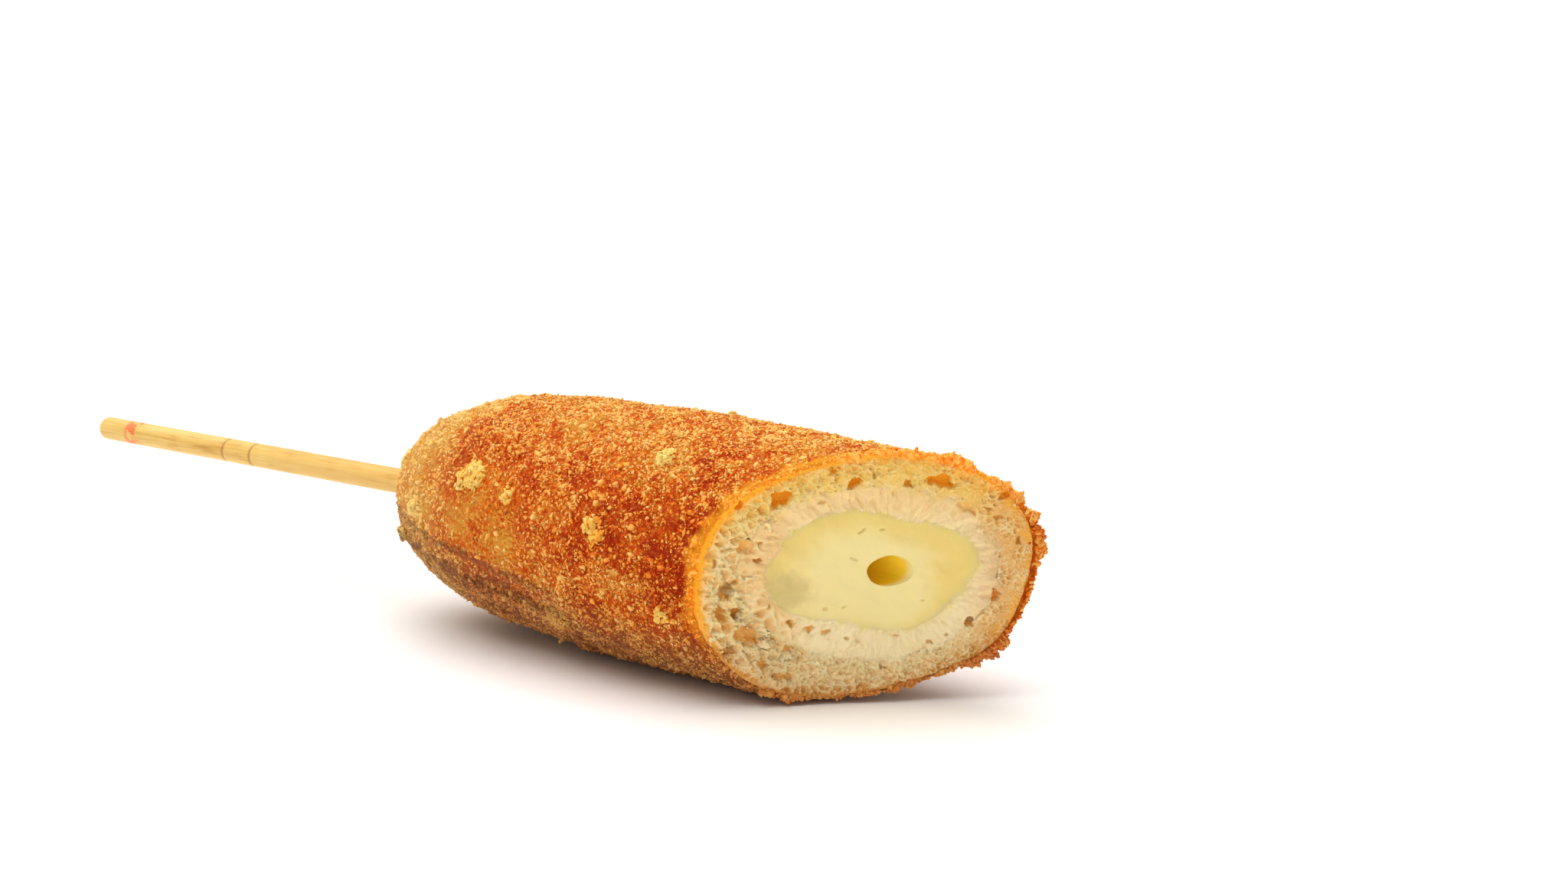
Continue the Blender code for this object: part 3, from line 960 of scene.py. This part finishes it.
def paint_glow_emission(finish):
    """Painted glow: an emission from the crumb's deep places, and more along the thin crust at the cut, for light that
    wandered through the crumb.
    """
    froth, pit = finish.attribute("froth").step(0.5, 2.6), finish.attribute("pit").step(0.3, 1.4)
    lit = finish.blend(froth.math("MAXIMUM", froth, pit), (0.0, 0.0, 0.0), PAINTED_DEEP_GLOW)
    return finish.blend(finish.attribute("from_crust").step(1.0, 0.1) * thin_side(finish) * 0.6, lit, PAINTED_EDGE_EMISSION)


# %% Bread
bread_finish = Finish("fresh_bread")
colour, mottle, grain = cut_colour(bread_finish)
bread_finish.set({
    "Base Color": colour, "Roughness": 0.45, "Subsurface Weight": 0.4,
    "Subsurface Radius": (1.0, 0.75, 0.45), "Subsurface Scale": 0.35 * MM, "Specular IOR Level": 0.12,
    # painted glow: emission from the deep cells and along the thin crust
    "Emission Color": paint_glow_emission(bread_finish), "Emission Strength": 1.0,
})
bread_finish.bump(grain * 0.6 + bread_finish.cells(0.5 * MM) * 0.7, 0.4 * MM, 0.8)
wear(bread, bread_finish)

# %% Pale dough
dough_finish = Finish("steamed_dough")
colour, mottle, grain = cut_colour(dough_finish)
dough_finish.set({
    "Base Color": colour, "Roughness": 0.42, "Subsurface Weight": 0.4,
    "Subsurface Radius": (1.0, 0.75, 0.45), "Subsurface Scale": 0.6 * MM, "Specular IOR Level": 0.25,
    # painted glow: emission from the deep cells and along the thin crust
    "Emission Color": paint_glow_emission(dough_finish), "Emission Strength": 1.0,
})
dough_finish.bump(grain * 0.7 + mottle * 0.3, 0.35 * MM, 0.7)
wear(dough, dough_finish)

# %% Cheese
cheese_finish = Finish("melted_cheese")
colour, mottle, grain = cut_colour(cheese_finish)
# painted glow: an emission in the hole stands in for light that soaks through the cheese, deeper than subsurface
# scattering goes
in_hole = hole_wall(cheese_finish)
cheese_finish.set({
    "Base Color": colour, "Roughness": 0.38, "Subsurface Weight": 0.4,
    "Emission Color": cheese_finish.blend(in_hole, (0.0, 0.0, 0.0), (0.04, 0.03, 0.0)), "Emission Strength": 1.0,
    "Subsurface Radius": (1.0, 0.75, 0.2), "Subsurface Scale": 1.6 * MM,
})
cheese_finish.bump(mottle * 0.5 + grain * 0.5, 0.15 * MM, 0.5)
wear(cheese, cheese_finish)

# %% [markdown]
# ## Finish of the crust
# Frying browns unevenly: deep red where the oil was hottest and orange where a smooth patch of
# batter shows. Painted light goes over that: grey-brown painted shade low down and in the creases,
# lighter colour on the top and at the stick's end, and an orange painted glow along the cut for
# light coming through the thin edge. Noise gives the drifts, and a few named spots give the places
# that stand out.

# %% How brown each place is, and where light is painted on it
RED_SPOTS = [((19, -24, 33), 9), ((17, -15, 46), 6), ((13, -26, 24), 8), ((-45, -14, 44), 9), ((-19, -20, 9), 7)]
STICK_END = (-36 * MM, -64 * MM)
SMOOTH_SPOT, SMOOTH_REACH = Vector((-34.0, -25.0, 29.0)) * MM, 15.0 * MM


def browning_and_painted_light(finish, smooth_share):
    """How dark the fryer left each place, from 0, golden, to 1, deep red, with painted light making the top and the
    stick's end lighter.
    """
    patch = finish.noise(13.0 * MM, 3.0)
    blot = finish.noise(3.2 * MM, 4.0, 0.65)
    wobble = (blot - 0.5) * 10 * MM
    brown = 0.5 + (0.5 - patch) * 1.5 + (0.5 - blot) * 0.7
    for spot, reach_mm in RED_SPOTS:
        brown = brown + (finish.away_from(Vector(spot) * MM) + wobble).step(reach_mm * MM, 0.0) * 0.4
    smooth = (finish.away_from(SMOOTH_SPOT) + wobble).step(SMOOTH_REACH, SMOOTH_REACH * 0.4)
    # painted light: the top and the stick's end come out lighter
    top = (finish.along("Z") + wobble).step(34 * MM, 50 * MM)
    stick_end = (finish.along("X") + wobble).step(*STICK_END)
    return brown - smooth * smooth_share - top * 0.22 - stick_end * 0.6


def paint_edge_glow(finish, colour, share):
    """Paints a glow: brightens a colour to orange along the cut and sets an emission there, for light that comes
    through the crust.
    """
    wobble = (finish.noise(3.2 * MM, 4.0, 0.65) - 0.5) * 4 * MM
    glow = (finish.dot(CUT_NORMAL) - cut_offset + wobble).step(-2.6 * MM, -0.4 * MM) * thin_side(finish)
    lit = finish.blend(glow, (0.0, 0.0, 0.0), PAINTED_EDGE_EMISSION)
    finish.set({"Emission Color": lit, "Emission Strength": 1.0})
    return finish.blend(glow * share, colour, PAINTED_EDGE_GLOW)


# painted shade: the near-black red laid along two creases, at these heights
PAINTED_CREASE_SHADE, CREASE_LEVELS = (0.13, 0.035, 0.012), (14.0 * MM, 8.5 * MM)


def underneath(finish, colour, painted_shade_colour, share):
    """Paints shade: dulls a colour to grey-brown low down, and darkens its creases."""
    wobble = (finish.noise(3.2 * MM, 4.0, 0.65) - 0.5) * 10 * MM
    towards_stick = finish.along("X") * 0.16
    height = finish.along("Z") + towards_stick.math("MINIMUM", towards_stick, 0.0)
    colour = finish.blend((height + wobble).step(18 * MM, 5 * MM) * share, colour, painted_shade_colour)
    folded = finish.along("X").step(-8 * MM, -26 * MM)
    for level in CREASE_LEVELS:
        off_crease = height + wobble * 0.7 - level
        crease = off_crease.step(-1.5 * MM, -0.3 * MM) * off_crease.step(1.5 * MM, 0.3 * MM)
        colour = finish.blend(crease * folded * 0.5, colour, PAINTED_CREASE_SHADE)
    return colour


# %% Crust skin
DEEP_RED, RED_BROWN = (0.50, 0.028, 0.001), (0.80, 0.095, 0.003)
ORANGE, AMBER = (0.98, 0.21, 0.010), (1.0, 0.41, 0.045)
# painted shade in the first colour, laid low down; painted light in the second, towards the stick's end
PAINTED_UNDERSIDE_SHADE, PAINTED_LIGHT_STICK_END_SKIN = (0.30, 0.12, 0.035), (1.0, 0.52, 0.13)

crust_finish = Finish("fried_crust")
grain = crust_finish.noise(0.8 * MM, 4.0, 0.7)
nubs = grain.step(0.36, 0.64) * 0.6 + crust_finish.cells(0.9 * MM).step(0.75, 0.1) * 0.4
fried = browning_and_painted_light(crust_finish, 0.5) + 0.35 - nubs * 0.7
skin = crust_finish.ramp(fried, (0.0, AMBER), (0.25, ORANGE), (0.55, RED_BROWN), (0.9, DEEP_RED))
# painted light: the skin lightens towards the stick's end
skin = crust_finish.blend(crust_finish.along("X").step(*STICK_END) * 0.3, skin, PAINTED_LIGHT_STICK_END_SKIN)
# painted shade: grey-brown low down and dark creases
skin = underneath(crust_finish, skin, PAINTED_UNDERSIDE_SHADE, 0.85)
# painted glow along the cut, laid over the skin's colour, with an emission
crust_finish.set({
    "Base Color": paint_edge_glow(crust_finish, skin, 1.0), "Roughness": 0.36, "Subsurface Weight": 0.2,
    "Subsurface Radius": (1.0, 0.3, 0.1), "Subsurface Scale": 1.0 * MM, "Specular IOR Level": 0.09,
})
crust_finish.bump(nubs, 0.7 * MM, 1.0)
wear(crust, crust_finish)

# %% [markdown]
# ## Crumbs
# A breadcrumb coat is thousands of separate dry flakes. Each kind is modelled once, as a small
# dented lump, and scattered over the crust by Geometry Nodes: points on its faces, a lump on each,
# turned and sized at random from a fixed seed, and made real at the end.

# %% The crust's outer faces, to scatter on
pick(crust)
bpy.ops.object.duplicate()
ground = bpy.context.view_layer.objects.active
ground.name = ground.data.name = "crumb_ground"
inside_group = ground.vertex_groups["inside"].index
on_inside = np.array([any(g.group == inside_group for g in v.groups) for v in ground.data.vertices])
face_inside = np.array([all(on_inside[list(face.vertices)]) for face in ground.data.polygons])
delete_where(ground, face_inside)
print("crumb ground", len(ground.data.polygons), "faces")

# %% Lumps


def lump(name, squash, dent, seed, subdivisions=0):
    """One crumb about a unit across: a ball of 8, 20 or 80 faces, squashed and dented."""
    bpy.ops.object.select_all(action="DESELECT")
    if subdivisions:
        bpy.ops.mesh.primitive_ico_sphere_add(subdivisions=subdivisions, radius=0.5)
    else:
        bpy.ops.mesh.primitive_uv_sphere_add(segments=4, ring_count=2, radius=0.5)
    crumb = bpy.context.object
    with editing(crumb):
        bpy.ops.mesh.select_all(action="SELECT")
        bpy.ops.transform.resize(value=squash)
        bpy.ops.transform.vertex_random(offset=dent, uniform=0.3, normal=0.0, seed=seed)
    bpy.ops.object.shade_smooth()
    rise = points_of(crumb)[:, 2]
    remember(crumb, "tip", (rise - rise.min()) / (rise.max() - rise.min()))
    crumb.name = crumb.data.name = name
    return crumb


def box_of_lumps(name, kinds):
    """A collection of lumps, out of the scene, for Geometry Nodes to take from."""
    collection = bpy.data.collections.new(name)
    for crumb in kinds:
        for holder in list(crumb.users_collection):
            holder.objects.unlink(crumb)
        collection.objects.link(crumb)
    return collection


specks = box_of_lumps("specks", [
    lump("speck_a", (1.0, 0.8, 0.7), 0.12, 1), lump("speck_b", (1.25, 0.7, 0.5), 0.15, 2),
    lump("speck_c", (0.8, 0.8, 0.9), 0.18, 3), lump("speck_d", (1.5, 0.6, 0.35), 0.12, 4),
])
shards = box_of_lumps("shards", [
    lump("shard_a", (1.2, 0.8, 0.45), 0.14, 5, 1), lump("shard_b", (0.9, 0.9, 0.6), 0.16, 6, 1),
    lump("shard_c", (1.5, 0.7, 0.3), 0.14, 7, 1), lump("shard_d", (1.0, 0.7, 0.8), 0.18, 8, 1),
])
flakes = box_of_lumps("flakes", [
    lump("flake_a", (1.3, 0.9, 0.25), 0.16, 9, 1), lump("flake_b", (1.9, 0.5, 0.3), 0.14, 10, 1),
    lump("flake_c", (0.9, 0.8, 0.5), 0.18, 11, 1), lump("flake_d", (1.4, 1.1, 0.2), 0.18, 12, 1),
])

# %% Scattering


def scatter(name, lumps, per_mm2, smallest, largest, cover, seed, sink=0.1, lie=0.9, over=ground):
    """Scatters lumps over the crust, or another piece, and returns them as one piece.

    cover takes the tree and the place and gives how full each place is, from 0 to 1. sink is how
    deep a lump sits, as a share of its size, and lie is how far it tips, in radians.
    """
    tree = bpy.data.node_groups.new(name, "GeometryNodeTree")
    tree.interface.new_socket("Geometry", in_out="INPUT", socket_type="NodeSocketGeometry")
    tree.interface.new_socket("Geometry", in_out="OUTPUT", socket_type="NodeSocketGeometry")
    skin = node(tree, "NodeGroupInput")
    place = node(tree, "GeometryNodeInputPosition")
    points = node(tree, "GeometryNodeDistributePointsOnFaces", None, {
        "Mesh": skin, "Density": cover(tree, place) * (per_mm2 / MM**2), "Seed": seed,
    })
    facing = Flow(tree, points.socket.node.outputs["Rotation"])
    shapes = node(tree, "GeometryNodeCollectionInfo", None, {
        "Collection": lumps, "Separate Children": True, "Reset Children": True,
    })
    which = node(tree, "FunctionNodeRandomValue", {"data_type": "INT"}, {5: 3, "Seed": seed + 1}, 2)
    size = node(tree, "FunctionNodeRandomValue", None, {"Seed": seed + 2}, 1)
    placed = node(tree, "GeometryNodeInstanceOnPoints", None, {
        "Points": points, "Instance": shapes, "Pick Instance": True, "Instance Index": which,
        "Rotation": facing, "Scale": size * size * ((largest - smallest) * MM) + smallest * MM,
    })
    turn = node(tree, "FunctionNodeRandomValue", {"data_type": "FLOAT_VECTOR"}, {
        0: (-lie, -lie, 0.0), 1: (lie, lie, 2 * math.pi), "Seed": seed + 3,
    })
    turned = node(tree, "GeometryNodeRotateInstances", None, {"Instances": placed, "Rotation": turn})
    sunk = node(tree, "GeometryNodeTranslateInstances", None, {"Instances": turned, "Translation": (0, 0, -sink)})
    shade = node(tree, "FunctionNodeRandomValue", None, {"Seed": seed + 4}, 1)
    named = node(tree, "GeometryNodeStoreNamedAttribute", {"data_type": "FLOAT", "domain": "INSTANCE"}, {
        "Geometry": sunk, "Name": "shade", "Value": shade,
    })
    real = node(tree, "GeometryNodeRealizeInstances", None, {"Geometry": named})
    node(tree, "NodeGroupOutput", None, {"Geometry": real}, output=None)
    pick(over)
    bpy.ops.object.duplicate()
    piece = bpy.context.view_layer.objects.active
    piece.vertex_groups.clear()
    piece.name = piece.data.name = name
    piece.modifiers.new("Scatter", "NODES").node_group = tree
    bpy.ops.object.modifier_apply(modifier="Scatter")
    print(name, len(piece.data.polygons), "faces")
    return piece


# %% Where crumbs lie
FLOOR_FREE = 0.6 * MM


def noise_at(tree, place, size, detail=2.0):
    return node(tree, "ShaderNodeTexNoise", None, {"Vector": place, "Scale": 1.0 / size, "Detail": detail})


def along(tree, place, axis):
    return node(tree, "ShaderNodeSeparateXYZ", None, {0: place}, axis)


def off_table(tree, place):
    """1 on the crust, fading to 0 where it rests on the table."""
    return along(tree, place, "Z").step(FLOOR_FREE, FLOOR_FREE * 2)


def dot_with(tree, place, vector):
    return node(tree, "ShaderNodeVectorMath", {"operation": "DOT_PRODUCT"}, {0: place, 1: vector}, "Value")


def distance_to(tree, place, spot):
    return node(tree, "ShaderNodeVectorMath", {"operation": "DISTANCE"}, {0: place, 1: spot}, "Value")


def left_edge(tree, place, width):
    """1 along the left of the cut, where the crust is cut clean, fading out over a width."""
    across_cut = dot_with(tree, place, ACROSS) - CUT_CENTRE.dot(ACROSS)
    up_cut = dot_with(tree, place, UPWARD) - CUT_CENTRE.dot(UPWARD)
    ahead = dot_with(tree, place, CUT_NORMAL) - cut_offset
    side = across_cut.step(-2.0 * MM, -12.0 * MM) * up_cut.step(-20.0 * MM, -12.0 * MM)
    return side * ahead.step(-width, -width * 0.3)


def even_cover(tree, place):
    """Crumbs in drifts all over, thinner on the smooth patch and clear of the table."""
    drifts = noise_at(tree, place, 7.0 * MM).step(0.38, 0.60) * 0.6 + 0.4
    small = noise_at(tree, place, 2.0 * MM).step(0.38, 0.58) * 0.8 + 0.2
    smooth = distance_to(tree, place, SMOOTH_SPOT).step(SMOOTH_REACH, SMOOTH_REACH * 0.5)
    bare = smooth.math("MAXIMUM", smooth * 0.4, left_edge(tree, place, 4.0 * MM) * 0.5)
    return drifts * small * off_table(tree, place) * (1.0 - bare)


def golden_cover_and_painted_light(tree, place):
    """Light crumbs, thickest on the top and at the stick's end, which paints light there."""
    top = along(tree, place, "Z").step(35.0 * MM, 48.0 * MM)
    stick_end = along(tree, place, "X").step(-70.0 * MM, -92.0 * MM)
    return even_cover(tree, place) * (top.math("MAXIMUM", top, stick_end) * 0.5 + 0.5)


def low_cover(tree, place):
    """Toasted crumbs, thickest on the lower half."""
    return even_cover(tree, place) * (along(tree, place, "Z").step(28.0 * MM, 8.0 * MM) * 0.85 + 0.15)


def rim_cover(tree, place):
    """Crumbs caught along the edge of the cut, but not along its clean left side."""
    ahead = dot_with(tree, place, CUT_NORMAL) - cut_offset
    broken = noise_at(tree, place, 3.6 * MM).step(0.42, 0.56) * 0.85 + 0.15
    rough = 1.0 - left_edge(tree, place, 9.0 * MM) * 0.75
    return ahead.step(-2.0 * MM, -0.3 * MM) * broken * rough * off_table(tree, place)


# %% Where shapes gather


def near_any(tree, place, spots):
    """Full round each named spot, with a ragged outline."""
    ragged = (noise_at(tree, place, 1.6 * MM, 3.0) - 0.5) * (3.0 * MM)
    total = None
    for spot, size in spots:
        near = (distance_to(tree, place, spot) + ragged).step(size, size * 0.8)
        total = near if total is None else total.math("MAXIMUM", total, near)
    return total


def clump_cover(tree, place):
    return near_any(tree, place, side_spots)


def rim_clump_cover(tree, place):
    return near_any(tree, place, rim_spots) * off_table(tree, place)


golden_crumbs = scatter("golden_crumbs", specks, 2.8, 0.5, 1.6, golden_cover_and_painted_light, 100, sink=0.25)
amber_crumbs = scatter("amber_crumbs", specks, 1.8, 0.6, 1.5, even_cover, 150, sink=0.25)
pale_crumbs = scatter("pale_crumbs", specks, 2.4, 0.4, 1.1, golden_cover_and_painted_light, 200, sink=0.2)
fine_crumbs = scatter("fine_crumbs", specks, 1.9, 0.35, 0.8, even_cover, 250, sink=0.2)
toasted_crumbs = scatter("toasted_crumbs", specks, 2.4, 0.6, 1.6, low_cover, 300, sink=0.25)
coarse_crumbs = scatter("coarse_crumbs", shards, 0.4, 0.8, 2.2, even_cover, 400, sink=0.2)
clumps = scatter("crumb_clumps", shards, 5.0, 0.8, 2.0, clump_cover, 500, lie=0.7)
rim_crumbs = scatter("rim_crumbs", shards, 11.0, 0.35, 1.4, rim_cover, 600, sink=-0.1, lie=1.5)
rim_clumps = scatter("rim_clumps", shards, 12.0, 0.6, 1.7, rim_clump_cover, 700, sink=-0.2, lie=1.5)

# %% Shreds of torn bread on the cut
SHRED_SPOTS = [
    (-30.5, -3.2, 1.6), (-27.6, -4.2, 1.6), (-24.6, -9.1, 2.0), (-30.9, -11.5, 1.4), (-21.6, -13.5, 1.8),
    (-23.0, -11.5, 1.0), (-16.6, -16.6, 1.6), (-12.8, -17.0, 1.4), (-25.2, -0.7, 1.4), (0.1, -11.7, 1.0),
    (-4.0, -14.5, 1.2), (-29.5, -17.6, 1.6),
]
shred_spots = [
    (CUT_CENTRE + (ACROSS * at_across + UPWARD * at_up) * MM, size * MM) for at_across, at_up, size in SHRED_SPOTS
]


def shred_cover(tree, place):
    """Shreds round the torn places, and a few everywhere on the bread."""
    facing_out = dot_with(tree, place, CUT_NORMAL) - cut_offset
    strewn = noise_at(tree, place, 3.0 * MM).step(0.5, 0.64) * 0.06
    there = strewn.math("MAXIMUM", strewn, near_any(tree, place, shred_spots))
    return there * facing_out.step(-2.0 * MM, -1.2 * MM)


bread_shreds = scatter("bread_shreds", flakes, 1.6, 0.5, 1.7, shred_cover, 800, sink=0.3, lie=0.8, over=bread)

# %% Crumb colours


# painted light in the first colour, towards the stick's end; painted shade in the second, tan, low down
PAINTED_LIGHT_STICK_END_CRUMB, TAN = (1.0, 0.68, 0.26), (0.52, 0.24, 0.085)


def crumb_finish(name, dark, middle_tone, light, edge=0.5):
    finish = Finish(name)
    own = finish.attribute("shade")
    mottled = finish.noise(0.6 * MM, 2.0)
    tip = finish.attribute("tip").step(0.35, 0.95)
    tone = own * 0.4 + tip * 0.4 + mottled * 0.2 + 0.36 - browning_and_painted_light(finish, 0.2) * 0.72
    colour = finish.ramp(tone, (0.1, dark), (0.45, middle_tone), (0.85, light))
    # painted light: crumbs lighten towards the stick's end
    colour = finish.blend(finish.along("X").step(*STICK_END) * 0.3, colour, PAINTED_LIGHT_STICK_END_CRUMB)
    # painted shade: crumbs dulled to tan low down and darkened in the creases
    colour = underneath(finish, colour, TAN, 0.6)
    # painted glow along the cut, with an emission; edge is its share
    finish.set({
        "Base Color": paint_edge_glow(finish, colour, edge), "Roughness": 0.5, "Subsurface Weight": 0.2,
        "Subsurface Radius": (1.0, 0.4, 0.15), "Subsurface Scale": 0.4 * MM, "Specular IOR Level": 0.08,
    })
    finish.bump(mottled, 0.25 * MM, 0.8)
    return finish


golden = crumb_finish("golden_crumb", (0.84, 0.16, 0.01), (0.98, 0.38, 0.045), (1.0, 0.60, 0.17))
amber = crumb_finish("amber_crumb", (0.66, 0.07, 0.003), (0.92, 0.22, 0.012), (1.0, 0.46, 0.07))
pale = crumb_finish("pale_crumb", (0.90, 0.26, 0.025), (1.0, 0.50, 0.10), (1.0, 0.70, 0.28))
clump_gold = crumb_finish("clump_gold", (1.0, 0.36, 0.03), (1.0, 0.56, 0.09), (1.0, 0.72, 0.22))
toasted = crumb_finish("toasted_crumb", (0.22, 0.04, 0.006), (0.46, 0.13, 0.02), (0.74, 0.34, 0.08))
rim_tan = crumb_finish("rim_crumb", (0.56, 0.06, 0.003), (0.88, 0.24, 0.016), (1.0, 0.58, 0.15), edge=0.25)
shred_finish = Finish("white_crumb")
shred_colour = shred_finish.ramp(shred_finish.attribute("shade"), (0.1, (1.0, 0.74, 0.36)), (0.8, (1.0, 0.85, 0.52)))
shred_finish.set({
    "Base Color": shred_colour, "Roughness": 0.45, "Specular IOR Level": 0.3,
})
shred_finish.bump(shred_finish.noise(0.4 * MM, 3.0), 0.15 * MM, 0.6)
for piece, finish in (
    (golden_crumbs, golden), (amber_crumbs, amber), (pale_crumbs, pale), (fine_crumbs, golden),
    (toasted_crumbs, toasted), (coarse_crumbs, golden), (clumps, clump_gold), (rim_crumbs, rim_tan),
    (rim_clumps, rim_tan), (bread_shreds, shred_finish),
):
    wear(piece, finish)
for leftover in [ground, *specks.objects, *shards.objects, *flakes.objects]:
    bpy.data.objects.remove(leftover, do_unlink=True)
crumb_pieces = [
    golden_crumbs, amber_crumbs, pale_crumbs, fine_crumbs, toasted_crumbs, coarse_crumbs, clumps, rim_crumbs, rim_clumps,
]

# %% [markdown]
# ## The skewer
# A round bamboo stick, as it comes from a lathe. Two knife scores go round it near the grip, and the
# butt is softened by handling. It is one cylinder with rings cut where something changes, so that
# the scores are real grooves.

# %% Stick
SCORES = (-144.0 * MM, -134.2 * MM)
SCORE_WIDTH, SCORE_DEPTH = 0.9 * MM, 0.16 * MM
BUTT_ROUNDING = 0.9 * MM

skewer_length = skewer_high.x - skewer_low.x
skewer_radius = (skewer_high.z - skewer_low.z) / 2
bpy.ops.object.select_all(action="DESELECT")
bpy.ops.mesh.primitive_cylinder_add(
    vertices=64, radius=skewer_radius, depth=skewer_length, end_fill_type="NGON",
    location=((skewer_low.x + skewer_high.x) / 2, hole_y, hole_z), rotation=(0.0, math.pi / 2, 0.0),
)
skewer = settle(bpy.context.object, "bamboo_skewer")
rings = [place + side * SCORE_WIDTH / 2 for place in SCORES for side in (-1, 0, 1)]
with editing(skewer, "FACE"):
    for place in rings:
        bpy.ops.mesh.select_all(action="SELECT")
        bpy.ops.mesh.bisect(plane_co=(place, 0, 0), plane_no=(1, 0, 0))
points = points_of(skewer)
for place in SCORES:
    on_ring = np.abs(points[:, 0] - place) < 0.01 * MM
    side = np.array([0.0, hole_y, hole_z])
    # the scores are deepest on the upper side and die out underneath
    up_share = soft_step((points[:, 2] - hole_z) / skewer_radius, -1.0, 0.6)
    shrink = 1.0 - SCORE_DEPTH / skewer_radius * up_share
    for axis in (1, 2):
        points[on_ring, axis] = side[axis] + (points[on_ring, axis] - side[axis]) * shrink[on_ring]
place_points(skewer, points)
butt = np.abs(points[:, 0] - skewer_low.x) < 0.01 * MM
choose(skewer, vertices=butt)
with editing(skewer):
    bpy.ops.mesh.select_mode(type="EDGE")
    bpy.ops.mesh.bevel(offset=BUTT_ROUNDING, segments=5, profile=0.5)
pick(skewer)
bpy.ops.object.shade_smooth_by_angle(angle=math.radians(35))
print("skewer", len(skewer.data.polygons), "faces")

# %% Bamboo
bamboo = Finish("bamboo")
fibre_place = bamboo.stretched((0.06, 1.0, 1.0))
fibre = bamboo.noise(0.5 * MM, 3.0, at=fibre_place)
streak = bamboo.noise(2.2 * MM, 3.0, at=fibre_place)
cloudy = bamboo.noise(9.0 * MM, 2.0)
bamboo_colour = bamboo.ramp(
    fibre * 0.4 + streak * 0.45 + cloudy * 0.2,
    (0.40, (0.62, 0.32, 0.06)), (0.52, (0.82, 0.52, 0.13)), (0.68, (0.89, 0.64, 0.21)),
)
along_stick = bamboo.node("ShaderNodeSeparateXYZ", None, {0: bamboo.place}, "X")
for place in SCORES:
    line = (along_stick - place).math("ABSOLUTE", along_stick - place).step(0.7 * MM, 0.1 * MM)
    bamboo_colour = bamboo.blend(line * 0.75, bamboo_colour, (0.45, 0.19, 0.03))
worn = bamboo.noise(2.6 * MM, 2.0).step(0.36, 0.5)
mark = along_stick.step(-182.4 * MM, -181.0 * MM) * along_stick.step(-176.2 * MM, -177.6 * MM) * worn
bamboo_colour = bamboo.blend(mark * 0.75, bamboo_colour, (0.90, 0.10, 0.03))
toward_body = along_stick.step(-135 * MM, -112 * MM)
bamboo_colour = bamboo.blend(toward_body * 0.35, bamboo_colour, (0.75, 0.42, 0.10))
bamboo.set({"Base Color": bamboo_colour, "Roughness": 0.45, "Specular IOR Level": 0.35})
bamboo.bump(fibre, 0.12 * MM, 0.6)
wear(skewer, bamboo)

# %% [markdown]
# ## Fitting to the solids
# Everything rides on the one rigid body. Crust and bread together stand for the batter solid, and
# the other pieces for their own.

# %% Riding and replacing
STANDS_FOR = ((bread, "batter"), (crust, "batter"), (dough, "inner_dough"), (cheese, "cheese"), (skewer, "skewer"))
MADE_OF = (
    ((crust, *crumb_pieces), "fried_batter"), ((bread, bread_shreds, dough), "pale_dough"),
    ((cheese,), "melted_cheese"), ((skewer,), "bamboo"),
)
for piece, node_name in STANDS_FOR:
    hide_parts(node_name)
for pieces, slot in MADE_OF:
    for piece in pieces:
        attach(piece, "root")
